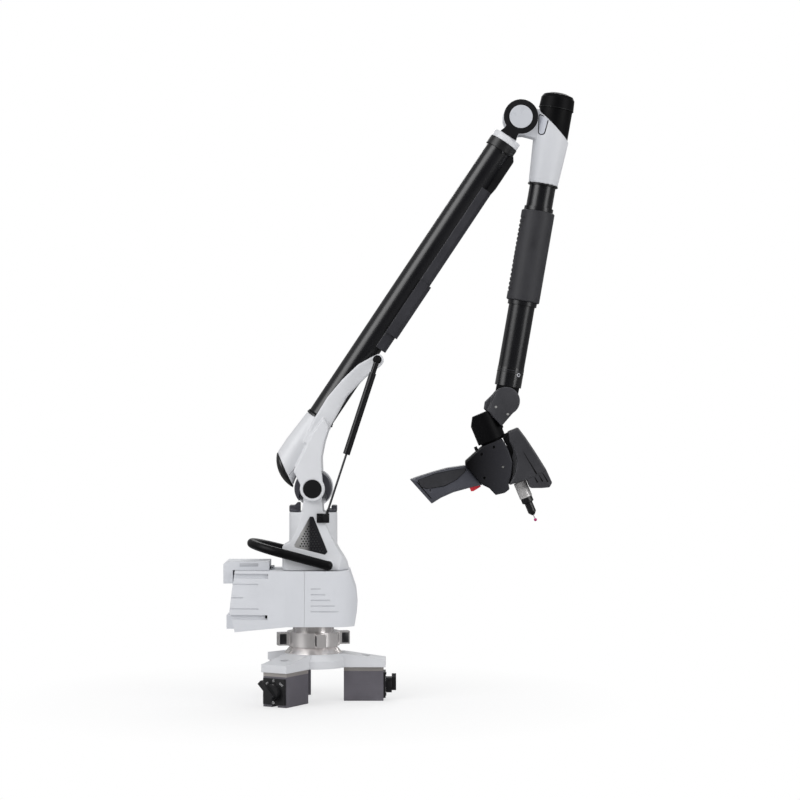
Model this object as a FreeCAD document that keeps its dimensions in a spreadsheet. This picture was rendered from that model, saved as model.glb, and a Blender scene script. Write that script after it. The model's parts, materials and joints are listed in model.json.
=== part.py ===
import FreeCAD, Part
import math
import os
import Sketcher

# Portable measuring arm on a three-foot magnet base, in millimetres, +Z up.
# The origin lies on the swivel axis at floor level.  +X is the side to which the arm reaches,
# and every hinge of the rest pose turns about Y.

SIZES = {
    # magnet base
    "foot_count": 3,
    "magnet_length": 73,
    "magnet_width": 50,
    "magnet_height": 55,
    "magnet_inner": 57,
    "recess_width": 12,
    "recess_height": 5,
    "spacer_height": 7,
    "plate_thickness": 14,
    "plate_reach": 134,
    "plate_width": 54,
    "hub_rise": 11.5,
    "hub_radius": 64,
    "hub_crown_radius": 56,
    "mount_screw_reach": 97,
    "mount_screw_radius": 5,
    "mount_screw_grip": 10,
    "screw_head_radius": 8,
    "screw_head_height": 7,
    "hex_radius": 4,
    "faceplate_thickness": 4,
    "faceplate_width": 46,
    "faceplate_foot": 5,
    "faceplate_height": 47,
    "face_screw_radius": 1.5,
    "face_screw_length": 10,
    "face_screw_head": 2.8,
    "face_screw_margin": 4,
    # magnet switch
    "rotor_radius": 15,
    "rotor_length": 62,
    "switch_shaft_radius": 5,
    "knob_radius": 15,
    "knob_depth": 11,
    "lever_width": 9,
    "lever_depth": 8,
    "lever_long_end": 27,
    "lever_short_end": 12,
    "lever_lean": 45,
    # quick-lock coupling
    "flange_foot_radius": 53.5,
    "flange_radius": 43.6,
    "cone_rise": 11,
    "neck_rise": 19,
    "spigot_radius": 30,
    "spigot_depth": 17,
    "lip_height": 4,
    "post_radius": 38,
    "post_rise": 17.5,
    "wire_bore": 12,
    "ring_wall": 4.5,
    "ring_lift": 2,
    "ring_lip_height": 4.6,
    "lug_count": 4,
    "lug_reach": 67.5,
    "lug_width": 17.5,
    "lug_angle": 15,
    # base housing
    "base_height": 102,
    "base_half_width": 60,
    "base_wall": 3,
    "seam_place": -14.3,
    "seam_gap": 0.3,
    "right_top_reach": 66.7,
    "right_shoulder_reach": 78.9,
    "right_belly_reach": 81.7,
    "right_low_reach": 80,
    "right_foot_reach": 76.7,
    "plan_corner_radius": 42,
    "tail_crease": 47.8,
    "tail_end_half_width": 52,
    "tail_belly_reach": 151.8,
    "tail_top_inset": 9.9,
    "tail_upper_inset": 4.7,
    "tail_foot_inset": 9.9,
    "tail_drop": 9.9,
    "vent_count": 5,
    "vent_start": -1.9,
    "vent_short": 17,
    "vent_growth": 8.5,
    "vent_height": 2,
    "vent_depth": 1.2,
    "vent_low": 28,
    "vent_pitch": 10.4,
    "groove_depth": 1.2,
    "groove_height": 2,
    "tail_recess_height": 8.5,
    "tail_recess_depth": 4.5,
    "recess_backing": 1.8,
    "port_height": 25,
    "port_drop": 6,
    "port_stand_out": 7,
    "port_socket_radius": 6,
    "port_socket_depth": 7,
    "chassis_thickness": 4,
    "core_radius": 36,
    "core_wall": 10,
    "board_length": 70,
    "board_width": 80,
    "board_thickness": 1.6,
    "board_post_height": 8,
    "board_post_radius": 3,
    "board_inset": 10,
    "chip_width": 24,
    "chip_length": 20,
    "chip_height": 2.5,
    # battery
    "battery_handle_reach": 12.2,
    "battery_right": 80,
    "battery_bar_height": 16,
    "battery_bar_half_width": 36,
    "battery_leg_drop": 24,
    "battery_half_width": 28,
    "battery_height": 66,
    "battery_top_drop": 9,
    "battery_chamfer": 5,
    "latch_length": 5.5,
    "latch_half_width": 12,
    "latch_height": 4,
    "latch_pin_radius": 1.2,
    "latch_ear": 3,
    "ear_rim": 0.9,
    # swivel
    "swivel_gap": 0.6,
    "swivel_shaft_radius": 14,
    "swivel_bearing_height": 12,
    "swivel_flange_radius": 38,
    "swivel_flange_height": 6,
    "encoder_radius": 24,
    "encoder_height": 3,
    # turret
    "shoulder_height": 391,
    "turret_left": 55.8,
    "turret_right": 66.5,
    "turret_skirt": 44,
    "turret_flare": 35,
    "turret_rim_radius": 66.6,
    "turret_rim_half_width": 47,
    "turret_half_width": 40,
    "column_radius": 44.5,
    "column_drop": 43.4,
    "column_wall": 6,
    "neck_half_width": 17,
    "hub_end_radius": 20,
    "rear_rim_radius": 36,
    "grille_apex_drop": 51,
    "grille_left_height": 284,
    "grille_right_height": 270,
    "grille_left": 33,
    "grille_right": 27.6,
    "grille_thickness": 2,
    "grille_hole_radius": 1.5,
    "grille_pitch": 5.2,
    "grille_border": 1.8,
    "grille_apex_place": -1.7,
    "grille_apex_half_width": 3,
    "grille_corner": 5,
    "shroud_radius": 34,
    "shroud_half_width": 29.7,
    "collar_height": 5,
    "collar_ear_height": 12,
    "collar_ear_half_width": 18,
    "ear_left_length": 20,
    "ear_right_length": 10,
    "handle_radius": 8.5,
    "handle_half_span": 57,
    "handle_length": 148,
    "handle_tilt": 15,
    "handle_end_x": 29,
    "handle_end_height": 251,
    "handle_boss_radius": 9,
    # shoulder
    "shoulder_axle_radius": 10,
    "shoulder_bearing_radius": 17,
    "shoulder_bearing_width": 10,
    "leg_gap": 0.6,
    "leg_thickness": 10,
    "leg_ring_radius": 23,
    "cap_radius": 17,
    "cap_thickness": 3,
    # upper arm
    "arm_angle": 56.3,
    "tube_reach": 782.4,
    "tube_offset": 61,
    "tube_radius": 25,
    "tube_wall": 2.4,
    "tube_start": 58,
    "barrel_mouth_radius": 26.6,
    "barrel_mouth": 112.4,
    "barrel_end_radius": 31,
    "barrel_end": 19.4,
    "end_cap_length": 43,
    "end_cap_slant": 31.5,
    "end_cap_round": 60,
    "end_cap_bulge": 13.5,
    "horn_length": 263,
    "channel_gap": 3,
    "heel_wall": 5,
    "horn_half_width": 36,
    "horn_tip_radius": 11,
    "horn_drop": 28.6,
    "band_radius": 28,
    "band_length": 16.7,
    "bracket_length": 76,
    "bracket_half_width": 13,
    "guard_start": 282,
    "guard_inner_drop": 12.4,
    "guard_outer_drop": 32.8,
    "guard_half_width": 22,
    "bumper_start": 315,
    "bumper_length": 114,
    "bumper_thickness": 3.7,
    "inner_tube_radius": 19,
    "inner_tube_wall": 2.5,
    "roll_bearing_width": 12,
    # gas strut
    "strut_gap": 5.6,
    "strut_length": 303,
    "strut_lean": 18.1,
    "strut_radius": 6.5,
    "strut_cylinder_length": 156,
    "strut_head_length": 26,
    "strut_rod_radius": 2,
    "strut_wall": 1.5,
    "strut_gland_length": 6,
    "strut_piston_place": 40,
    "strut_piston_length": 8,
    "strut_socket_length": 15,
    "strut_eye_radius": 8,
    "strut_eye_thickness": 6,
    "stud_radius": 3.5,
    "bracket_plate_thickness": 5,
    "bracket_plate_left": 17,
    "bracket_plate_right": 6,
    "bracket_plate_foot": 11,
    "bracket_plate_top": 6,
    "bracket_bolt_radius": 4.5,
    "bracket_bolt_place": 12,
    "bracket_boss_radius": 5,
    # elbow
    "elbow_offset": 62.6,
    "elbow_tilt": 9.9,
    "cheek_radius": 32.3,
    "cheek_neck_width": 29,
    "cheek_foot_width": 35,
    "cheek_thickness": 6.1,
    "elbow_collar_radius": 27,
    "elbow_collar_place": 42.6,
    "elbow_collar_length": 12.4,
    "elbow_hub_radius": 31,
    "elbow_hub_half_width": 20,
    "elbow_axle_radius": 9,
    "elbow_bearing_radius": 15,
    "elbow_bearing_width": 9,
    "housing_top": 20,
    "housing_waist": 30,
    "housing_length": 114.5,
    "housing_radius": 33,
    "housing_foot_radius": 27.25,
    "housing_bore": 26,
    "sleeve_radius": 30.5,
    "sleeve_top": 27,
    "elbow_cap_radius": 32.2,
    "elbow_cap_side": 20,
    "elbow_cap_crown": 31,
    # forearm
    "forearm_reach": 520.4,
    "forearm_radius": 24.25,
    "forearm_wall": 2.2,
    "forearm_tube_end": 458,
    "forearm_shaft_radius": 19,
    "forearm_shaft_bore": 16,
    "grip_place": 165,
    "grip_length": 168.5,
    "grip_radius": 30.85,
    "grip_gap": 0.3,
    "grip_rib_count": 17,
    "grip_rib_depth": 1.2,
    "grip_rib_width": 4,
    "grip_collar_radius": 27,
    "grip_collar_length": 7.5,
    # wrist
    "socket_radius": 24.6,
    "socket_end": 493,
    "socket_plug_length": 14,
    "tongue_half_width": 11,
    "tongue_radius": 21,
    "wrist_axle_radius": 6,
    "wrist_tilt": -22.6,
    "wrist_offset": 51,
    "wrist_cheek_radius": 26,
    "wrist_cheek_gap": 0.6,
    "wrist_half_width": 25,
    "paddle_thickness": 4.5,
    "wrist_block_radius": 26.5,
    "wrist_block_top": 4,
    "wrist_block_foot": 58,
    "block_cut_width": 10,
    "block_cut_depth": 16,
    "spindle_top": 24.3,
    "head_spindle_radius": 15,
    "head_bearing_radius": 22,
    "head_collar_radius": 21.5,
    "head_bearing_width": 12,
    "head_gap": 3,
    # head
    "head_half_width": 24,
    "head_wall": 2.5,
    "head_right": 21,
    "head_left": 63,
    "head_foot": 156,
    "head_belly": 85,
    "head_chin": 109,
    "head_jaw": 130,
    "head_throat": 143,
    "head_shoulder": 43,
    "head_round": 2.5,
    "grip_half_width": 17,
    "grip_reach": 168,
    "grip_top": 66,
    "grip_foot": 123,
    "grip_root_top": 81,
    "grip_root_foot": 127,
    "grip_root_inset": 15,
    "grip_round": 7,
    "pad_thickness": 1.5,
    "trigger_width": 10,
    "trigger_length": 20,
    "trigger_height": 9,
    "trigger_place": 72,
    "trigger_root": 121,
    "trigger_gap": 0.4,
    "trigger_slot_depth": 28,
    "button_place": 33,
    "button_top": 57,
    "button_radius": 3,
    "button_length": 9,
    "scanner_half_width": 26,
    "scanner_core_half_width": 18,
    "scanner_wall": 2.5,
    "scanner_reach": 72,
    "scanner_top": 54,
    "scanner_foot": 178,
    "scanner_gap": 0.5,
    "scanner_groove": 9.5,
    "scanner_round": 3,
    "window_left": 38,
    "window_right": 12,
    "window_bend": 21,
    "window_margin": 6,
    "window_thickness": 2,
    "probe_place": 18,
    "adapter_radius": 12,
    "adapter_foot": 180,
    "adapter_top": 148.5,
    "holder_radius": 11,
    "holder_length": 11,
    "shank_radius": 7.6,
    "shank_length": 18,
    "shank_cone": 6,
    "stem_radius": 1,
    "stem_length": 7,
    "ball_radius": 3,
    # running and assembly clearances
    "running_gap": 0.3,
    "fit_gap": 0.05,
}

doc = FreeCAD.newDocument("MeasuringArm")
sheet = doc.addObject("Spreadsheet::Sheet", "Sizes")
for row, (alias, number) in enumerate(SIZES.items(), start=1):
    sheet.set(f"A{row}", alias)
    sheet.set(f"B{row}", str(number))
    sheet.setAlias(f"B{row}", alias)
doc.recompute()


class Size:
    """A length and the sheet expression that it comes from, kept together through arithmetic."""

    def __init__(self, number, text):
        self.number = float(number)
        self.text = text

    def __add__(self, other):
        return Size(self.number + number_of(other), f"({self.text} + {text_of(other)})")

    def __radd__(self, other):
        return Size(number_of(other) + self.number, f"({text_of(other)} + {self.text})")

    def __sub__(self, other):
        return Size(self.number - number_of(other), f"({self.text} - {text_of(other)})")

    def __rsub__(self, other):
        return Size(number_of(other) - self.number, f"({text_of(other)} - {self.text})")

    def __mul__(self, other):
        return Size(self.number * number_of(other), f"({self.text} * {text_of(other)})")

    __rmul__ = __mul__

    def __truediv__(self, other):
        return Size(self.number / number_of(other), f"({self.text} / {text_of(other)})")

    def __neg__(self):
        return Size(-self.number, f"(0 - {self.text})")


def number_of(size):
    return size.number if isinstance(size, Size) else float(size)


def text_of(size):
    return size.text if isinstance(size, Size) else f"{float(size):.6f}"


class Sizes:
    """Each named cell of the sheet, as a Size."""

    def __getattr__(self, alias):
        return Size(sheet.get(alias), f"Sizes.{alias}")


s = Sizes()
X_AXIS = FreeCAD.Vector(1, 0, 0)
Y_AXIS = FreeCAD.Vector(0, 1, 0)
Z_AXIS = FreeCAD.Vector(0, 0, 1)
TURN = {
    "X": FreeCAD.Rotation(Y_AXIS, 90),
    "Y": FreeCAD.Rotation(X_AXIS, -90),
    "Z": FreeCAD.Rotation(),
}
NODES = {}


# ---------------------------------------------------------------- shape helpers


def bind(thing, prop, size):
    """Sets a property, through the sheet where the value comes from it."""
    if isinstance(size, Size):
        thing.setExpression(prop, size.text)
    elif prop.startswith("Placement.Base."):
        base = thing.Placement.Base
        setattr(base, prop[-1], float(size))
        thing.Placement = FreeCAD.Placement(base, thing.Placement.Rotation)
    else:
        setattr(thing, prop, size)


def place(thing, x, y, z, turn=None):
    """Puts a primitive at a point given by sizes, turned if asked."""
    base = FreeCAD.Vector(number_of(x), number_of(y), number_of(z))
    thing.Placement = FreeCAD.Placement(base, turn or FreeCAD.Rotation())
    for letter, size in zip("xyz", (x, y, z)):
        if isinstance(size, Size):
            bind(thing, f"Placement.Base.{letter}", size)
    return thing


def box(name, x, y, z):
    """A box between three pairs of limits."""
    thing = doc.addObject("Part::Box", name)
    for prop, (low, high) in zip(("Length", "Width", "Height"), (x, y, z)):
        size = high - low
        bind(thing, prop, size if isinstance(size, Size) else float(size))
    return place(thing, x[0], y[0], z[0])


def rod(name, radius, start, end, at=(0, 0), axis="Z"):
    """A cylinder along an axis, from start to end, through the two other coordinates."""
    thing = doc.addObject("Part::Cylinder", name)
    bind(thing, "Radius", radius)
    bind(thing, "Height", end - start)
    points = {
        "X": (start, at[0], at[1]),
        "Y": (at[0], start, at[1]),
        "Z": (at[0], at[1], start),
    }
    return place(thing, *points[axis], TURN[axis])


def ball(name, radius, at):
    thing = doc.addObject("Part::Sphere", name)
    bind(thing, "Radius", radius)
    return place(thing, *at)


def origin_part(body, role):
    return next(part for part in body.Origin.OriginFeatures if part.Role == role)


def outline(sketch, corners):
    """Adds a closed polygon, each corner held by its two distances from the origin."""
    first = sketch.GeometryCount
    count = len(corners)
    flat = [FreeCAD.Vector(number_of(x), number_of(y), 0) for x, y in corners]
    for index in range(count):
        sketch.addGeometry(Part.LineSegment(flat[index], flat[(index + 1) % count]))
    for index in range(count):
        after = first + (index + 1) % count
        sketch.addConstraint(Sketcher.Constraint("Coincident", first + index, 2, after, 1))
    for index, corner in enumerate(corners):
        for kind, size in zip(("DistanceX", "DistanceY"), corner):
            rule = Sketcher.Constraint(kind, -1, 1, first + index, 1, number_of(size))
            place_in_list = sketch.addConstraint(rule)
            if isinstance(size, Size):
                sketch.setExpression(f"Constraints[{place_in_list}]", size.text)


def body_sketch(body, plane, corners, offset=0):
    sketch = body.newObject("Sketcher::SketchObject", body.Name + "_outline")
    sketch.AttachmentSupport = [(origin_part(body, plane), "")]
    sketch.MapMode = "FlatFace"
    if isinstance(offset, Size) or offset:
        shift = FreeCAD.Vector(0, 0, number_of(offset))
        sketch.AttachmentOffset = FreeCAD.Placement(shift, FreeCAD.Rotation())
        if isinstance(offset, Size):
            sketch.setExpression("AttachmentOffset.Base.z", offset.text)
    outline(sketch, corners)
    return sketch


def pad(name, corners, low, high, plane="XZ_Plane"):
    """A padded outline: in XZ between two Y values, in YZ between two X values, or in XY between
    two heights."""
    body = doc.addObject("PartDesign::Body", name)
    middle = (low + high) / 2
    offset = -middle if plane == "XZ_Plane" else middle
    sketch = body_sketch(body, plane, corners, offset)
    feature = body.newObject("PartDesign::Pad", name + "_pad")
    feature.Profile = sketch
    feature.Midplane = True
    bind(feature, "Length", high - low)
    sketch.Visibility = False
    return body


def turned(name, corners):
    """A profile of radius and height pairs, revolved about Z."""
    body = doc.addObject("PartDesign::Body", name)
    sketch = body_sketch(body, "XZ_Plane", corners)
    feature = body.newObject("PartDesign::Revolution", name + "_turn")
    feature.Profile = sketch
    feature.ReferenceAxis = (sketch, ["V_Axis"])
    feature.Angle = 360
    sketch.Visibility = False
    return body


def ring(name, inner, outer, low, high):
    return turned(name, [(inner, low), (outer, low), (outer, high), (inner, high)])


def fuse(name, *things):
    result = doc.addObject("Part::MultiFuse", name)
    result.Shapes = list(things)
    return result


def cut(name, base, *tools):
    result = doc.addObject("Part::Cut", name)
    result.Base = base
    result.Tool = tools[0] if len(tools) == 1 else fuse(name + "_tools", *tools)
    return result


def common(name, first, second):
    result = doc.addObject("Part::Common", name)
    result.Base = first
    result.Tool = second
    return result


def group(name, *things):
    """Separate solids kept side by side as one object."""
    result = doc.addObject("Part::Compound", name)
    result.Links = list(things)
    return result


def turn_copy(thing, angle, axis=Z_AXIS, about=FreeCAD.Vector()):
    """Turns a finished boolean or body about an axis through a point."""
    thing.Placement = FreeCAD.Placement(FreeCAD.Vector(), FreeCAD.Rotation(axis, angle), about)
    return thing


def rounded(name, base, radius, wanted):
    """Rounds the edges whose end points pass a test."""
    doc.recompute()
    result = doc.addObject("Part::Fillet", name)
    result.Base = base
    size = number_of(radius)
    chosen = []
    for index, edge in enumerate(base.Shape.Edges, start=1):
        if wanted(edge):
            chosen.append((index, size, size))
    result.Edges = chosen
    return result


def node(name, thing, frame=None):
    """Keeps a finished sub-part under its own label and puts it in its frame."""
    thing.Label = name
    if frame is not None:
        thing.Placement = frame.multiply(thing.Placement)
    NODES[name] = thing
    return thing


# ---------------------------------------------------------------- frames of the rest pose


def frame_at(x, z, tilt):
    """A frame in the arm's plane whose own axes are turned about Y by tilt degrees."""
    place_vector = FreeCAD.Vector(number_of(x), 0, number_of(z))
    return FreeCAD.Placement(place_vector, FreeCAD.Rotation(Y_AXIS, number_of(tilt)))


BASE = FreeCAD.Placement()
# ARM: origin on the shoulder hinge, X along the upper tube, Z square to it
ARM = frame_at(0, s.shoulder_height, -s.arm_angle)
# TUBE: Z along the upper tube's axis, X towards its lower side
TUBE = ARM.multiply(frame_at(0, s.tube_offset, 90))
# FORK: origin on the elbow hinge, X along the upper tube
FORK = ARM.multiply(frame_at(s.tube_reach, s.tube_offset, 0))
# ELBOW: origin on the elbow hinge, Z up along the forearm
ELBOW = FreeCAD.Placement(FORK.Base, FreeCAD.Rotation(Y_AXIS, number_of(s.elbow_tilt)))
# FOREARM: Z up along the forearm's own axis
FOREARM = ELBOW.multiply(frame_at(s.elbow_offset, 0, 0))
WRIST_POINT = FOREARM.multVec(FreeCAD.Vector(0, 0, -number_of(s.forearm_reach)))
# WRIST: origin on the wrist hinge, Z up along the head's roll axis
WRIST = FreeCAD.Placement(WRIST_POINT, FreeCAD.Rotation(Y_AXIS, number_of(s.wrist_tilt)))
# HEAD: Z up along the head's roll axis itself
HEAD = WRIST.multiply(frame_at(-s.wrist_offset, 0, 0))

# heights of the base, from the floor up
FLOOR = Size(0, "0")
spacer_top = s.magnet_height + s.spacer_height
plate_top = spacer_top + s.plate_thickness
hub_top = plate_top + s.hub_rise
cone_top = hub_top + s.cone_rise
neck_top = cone_top + s.neck_rise
lip_top = neck_top + s.lip_height
base_foot = lip_top + s.post_rise
base_top = base_foot + s.base_height
turret_foot = base_top + s.swivel_gap
magnet_outer = s.magnet_inner + s.magnet_length
switch_height = s.magnet_height / 2
tail_top_reach = s.tail_belly_reach - s.tail_top_inset
tail_upper_reach = s.tail_belly_reach - s.tail_upper_inset
tail_foot_reach = s.tail_belly_reach - s.tail_foot_inset
column_top = s.shoulder_height - s.column_drop
grille_apex = s.shoulder_height - s.grille_apex_drop
leg_inner = s.turret_half_width + s.leg_gap
leg_outer = leg_inner + s.leg_thickness
FOOT_ANGLES = [360 * k / SIZES["foot_count"] for k in range(SIZES["foot_count"])]


# ---------------------------------------------------------------- magnet base


def mount_plate():
    arms = []
    half = s.plate_width / 2
    side = [
        (0, spacer_top),
        (s.plate_reach, spacer_top),
        (s.plate_reach, plate_top),
        (s.hub_crown_radius, hub_top),
        (0, hub_top),
    ]
    for k, angle in enumerate(FOOT_ANGLES):
        arms.append(turn_copy(pad(f"plate_arm_{k}", side, -half, half), angle))
    hub = turned(
        "plate_hub",
        [
            (0, spacer_top),
            (s.hub_radius, spacer_top),
            (s.hub_radius, plate_top),
            (s.hub_crown_radius, hub_top),
            (0, hub_top),
        ],
    )
    whole = fuse("plate_whole", hub, *arms)
    holes = []
    for k, angle in enumerate(FOOT_ANGLES):
        bore = rod(
            f"plate_bore_{k}",
            s.mount_screw_radius + s.fit_gap,
            spacer_top - 1,
            hub_top + 1,
            (s.mount_screw_reach, 0),
        )
        sink = rod(
            f"plate_sink_{k}",
            s.screw_head_radius + s.fit_gap,
            plate_top - s.screw_head_height,
            hub_top + 1,
            (s.mount_screw_reach, 0),
        )
        holes.append(turn_copy(fuse(f"plate_hole_{k}", bore, sink), angle))
    node("mount_plate", cut("mount_plate", whole, *holes))


def magnet_feet():
    """Blocks, spacers, faceplates and screws, one set under each arm of the plate."""
    half = s.magnet_width / 2
    blocks, spacers, plates, screws = [], [], [], []
    face_out = magnet_outer + s.faceplate_thickness
    plate_foot = s.faceplate_foot
    plate_head = plate_foot + s.faceplate_height
    for k, angle in enumerate(FOOT_ANGLES):
        body = box(f"block_{k}", (s.magnet_inner, magnet_outer), (-half, half), (FLOOR, s.magnet_height))
        recess = box(
            f"block_recess_{k}",
            (s.magnet_inner - 1, magnet_outer + 1),
            (-s.recess_width / 2, s.recess_width / 2),
            (-s.recess_height, s.recess_height),
        )
        chamber = rod(
            f"block_chamber_{k}",
            s.rotor_radius + s.running_gap,
            magnet_outer - s.rotor_length - 2,
            magnet_outer + 1,
            (0, switch_height),
            "X",
        )
        threads = [
            rod(
                f"block_thread_{k}",
                s.mount_screw_radius + s.fit_gap,
                s.magnet_height - s.mount_screw_grip,
                s.magnet_height + 1,
                (s.mount_screw_reach, 0),
            )
        ]
        plate = box(
            f"faceplate_{k}",
            (magnet_outer, face_out),
            (-s.faceplate_width / 2, s.faceplate_width / 2),
            (plate_foot, plate_head),
        )
        face_holes = [
            rod(
                f"face_bore_{k}",
                s.switch_shaft_radius + s.running_gap,
                magnet_outer - 1,
                face_out + 1,
                (0, switch_height),
                "X",
            )
        ]
        shank_start = face_out - s.face_screw_length
        hole_radius = s.face_screw_radius + s.fit_gap
        screw_rows = {"low": plate_foot + s.face_screw_margin, "high": plate_head - s.face_screw_margin}
        for side, height in screw_rows.items():
            at = (0, height)
            threads.append(rod(f"face_thread_{side}_{k}", hole_radius, shank_start, face_out, at, "X"))
            through = rod(f"face_hole_{side}_{k}", hole_radius, magnet_outer - 1, face_out + 1, at, "X")
            face_holes.append(through)
            shank = rod(f"face_shank_{side}_{k}", s.face_screw_radius, shank_start, face_out, at, "X")
            head_end = face_out + s.face_screw_head / 2
            head = rod(f"face_head_{side}_{k}", s.face_screw_head, face_out, head_end, at, "X")
            screws.append(turn_copy(fuse(f"face_screw_{side}_{k}", shank, head), angle))
        blocks.append(turn_copy(cut(f"block_cut_{k}", body, recess, chamber, *threads), angle))
        plates.append(turn_copy(cut(f"faceplate_cut_{k}", plate, *face_holes), angle))

        along = (s.magnet_inner, magnet_outer)
        spacer = box(f"spacer_{k}", along, (-half, half), (s.magnet_height, spacer_top))
        spacer_hole = rod(
            f"spacer_hole_{k}",
            s.mount_screw_radius + s.fit_gap,
            s.magnet_height - 1,
            spacer_top + 1,
            (s.mount_screw_reach, 0),
        )
        spacers.append(turn_copy(cut(f"spacer_cut_{k}", spacer, spacer_hole), angle))

        at = (s.mount_screw_reach, 0)
        seat = plate_top - s.screw_head_height
        shank = rod(f"mount_shank_{k}", s.mount_screw_radius, s.magnet_height - s.mount_screw_grip, seat, at)
        head = rod(f"mount_head_{k}", s.screw_head_radius, seat, plate_top, at)
        socket = rod(f"mount_socket_{k}", s.hex_radius, plate_top - s.hex_radius, plate_top + 1, at)
        screws.append(turn_copy(cut(f"mount_screw_{k}", fuse(f"mount_bolt_{k}", shank, head), socket), angle))
    node("magnet_blocks", group("magnet_blocks", *blocks))
    node("magnet_spacers", group("magnet_spacers", *spacers))
    node("magnet_faceplates", group("magnet_faceplates", *plates))
    node("mount_screws", group("mount_screws", *screws))


def magnet_switches():
    """Each switch: the turning magnet in its block, its shaft and the lever knob outside."""
    face_out = magnet_outer + s.faceplate_thickness
    knob_start = face_out + s.running_gap
    lever_start = knob_start + s.knob_depth
    rotor_end = magnet_outer - s.running_gap
    at = (0, switch_height)
    for k, (side, angle) in enumerate(zip(("right", "rear", "front"), FOOT_ANGLES)):
        magnet = rod(f"rotor_{side}", s.rotor_radius, magnet_outer - s.rotor_length, rotor_end, at, "X")
        shaft = rod(f"switch_shaft_{side}", s.switch_shaft_radius, rotor_end, knob_start, at, "X")
        boss = rod(f"knob_{side}", s.knob_radius, knob_start, lever_start, at, "X")
        lever = box(
            f"lever_{side}",
            (lever_start, lever_start + s.lever_depth),
            (-s.lever_width / 2, s.lever_width / 2),
            (-s.lever_short_end, s.lever_long_end),
        )
        lift = FreeCAD.Vector(0, 0, number_of(switch_height))
        leaning = group(f"lever_leaning_{side}", lever)
        leaning.Placement = FreeCAD.Placement(lift, FreeCAD.Rotation(X_AXIS, number_of(s.lever_lean)))
        whole = fuse(f"switch_{side}", magnet, shaft, boss, leaning)
        node(f"magnet_switch_{side}", turn_copy(whole, angle))


def mount_flange():
    inner = s.spigot_radius + s.running_gap
    profile = [
        (inner, hub_top),
        (s.flange_foot_radius, hub_top),
        (s.flange_radius, cone_top),
        (s.flange_radius, neck_top),
        (inner, neck_top),
    ]
    node("mount_flange", turned("mount_flange", profile))


def base_post():
    lip = s.flange_radius - s.running_gap
    spigot_foot = neck_top - s.spigot_depth
    profile = [
        (s.wire_bore, spigot_foot),
        (s.spigot_radius, spigot_foot),
        (s.spigot_radius, neck_top),
        (lip, neck_top),
        (lip, lip_top),
        (s.post_radius, lip_top),
        (s.post_radius, base_foot),
        (s.wire_bore, base_foot),
    ]
    node("base_post", turned("base_post", profile))


def locking_ring():
    inner = s.flange_radius + 2 * s.running_gap
    outer = inner + s.ring_wall
    foot = cone_top + s.ring_lift
    step = lip_top + s.running_gap
    top = step + s.ring_lip_height
    lip = s.post_radius + 2 * s.running_gap
    profile = [(inner, foot), (outer, foot), (outer, top), (lip, top), (lip, step), (inner, step)]
    pieces = [turned("ring_body", profile)]
    for k in range(SIZES["lug_count"]):
        lug = box(
            f"lug_{k}",
            (inner + s.ring_wall / 2, s.lug_reach),
            (-s.lug_width / 2, s.lug_width / 2),
            (foot + 1, top - 1),
        )
        piece = group(f"lug_turned_{k}", lug)
        pieces.append(turn_copy(piece, SIZES["lug_angle"] + 360 * k / SIZES["lug_count"]))
    node("locking_ring", fuse("locking_ring", *pieces))


# ---------------------------------------------------------------- base housing


def base_chassis():
    """Floor of the housing with the tube that carries the swivel bearings, and the board posts."""
    floor_top = base_foot + s.chassis_thickness
    inner_half = s.base_half_width - s.base_wall
    left = -s.tail_crease
    right = s.core_radius + s.fit_gap
    floor = box("chassis_floor", (left, right), (-inner_half, inner_half), (base_foot, floor_top))
    bore = s.core_radius - s.core_wall
    tube = turned(
        "chassis_tube",
        [
            (s.wire_bore, base_foot),
            (s.core_radius, base_foot),
            (s.core_radius, base_top - s.swivel_gap),
            (bore, base_top - s.swivel_gap),
            (bore, floor_top),
            (s.wire_bore, floor_top),
        ],
    )
    hole = rod("chassis_hole", s.core_radius - 1, base_foot - 1, floor_top + 1)
    node("base_chassis", fuse("base_chassis", cut("chassis_plate", floor, hole), tube))


def swivel_bearings():
    inner = s.swivel_shaft_radius + s.fit_gap
    outer = s.core_radius - s.core_wall - s.fit_gap
    floor_top = base_foot + s.chassis_thickness
    top = base_top - s.swivel_gap
    low = ring("swivel_bearing_low", inner, outer, floor_top, floor_top + s.swivel_bearing_height)
    high = ring("swivel_bearing_high", inner, outer, top - s.swivel_bearing_height, top)
    node("swivel_bearings", group("swivel_bearings", low, high))


def shell_profile(wall, side):
    """Side outline of one half of the housing, drawn in by a wall; the hollow runs past the seam."""
    top = base_top - wall
    foot = base_foot + wall
    past = 2 * wall
    if side == "right":
        seam = s.seam_place + s.seam_gap - past
        return [
            (seam, foot),
            (s.right_foot_reach - wall, foot),
            (s.right_low_reach - wall, base_foot + s.base_height * 0.2),
            (s.right_belly_reach - wall, base_foot + s.base_height * 0.41),
            (s.right_shoulder_reach - wall, base_foot + s.base_height * 0.66),
            (s.right_top_reach - wall, top),
            (seam, top),
        ]
    seam = s.seam_place + past
    return [
        (seam, foot),
        (-s.tail_crease, foot),
        (-tail_foot_reach + wall, base_foot - s.tail_drop + wall),
        (-s.tail_belly_reach + wall, base_foot + s.base_height * 0.28),
        (-tail_upper_reach + wall, base_foot + s.base_height * 0.65),
        (-tail_top_reach + wall, top),
        (seam, top),
    ]


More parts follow.
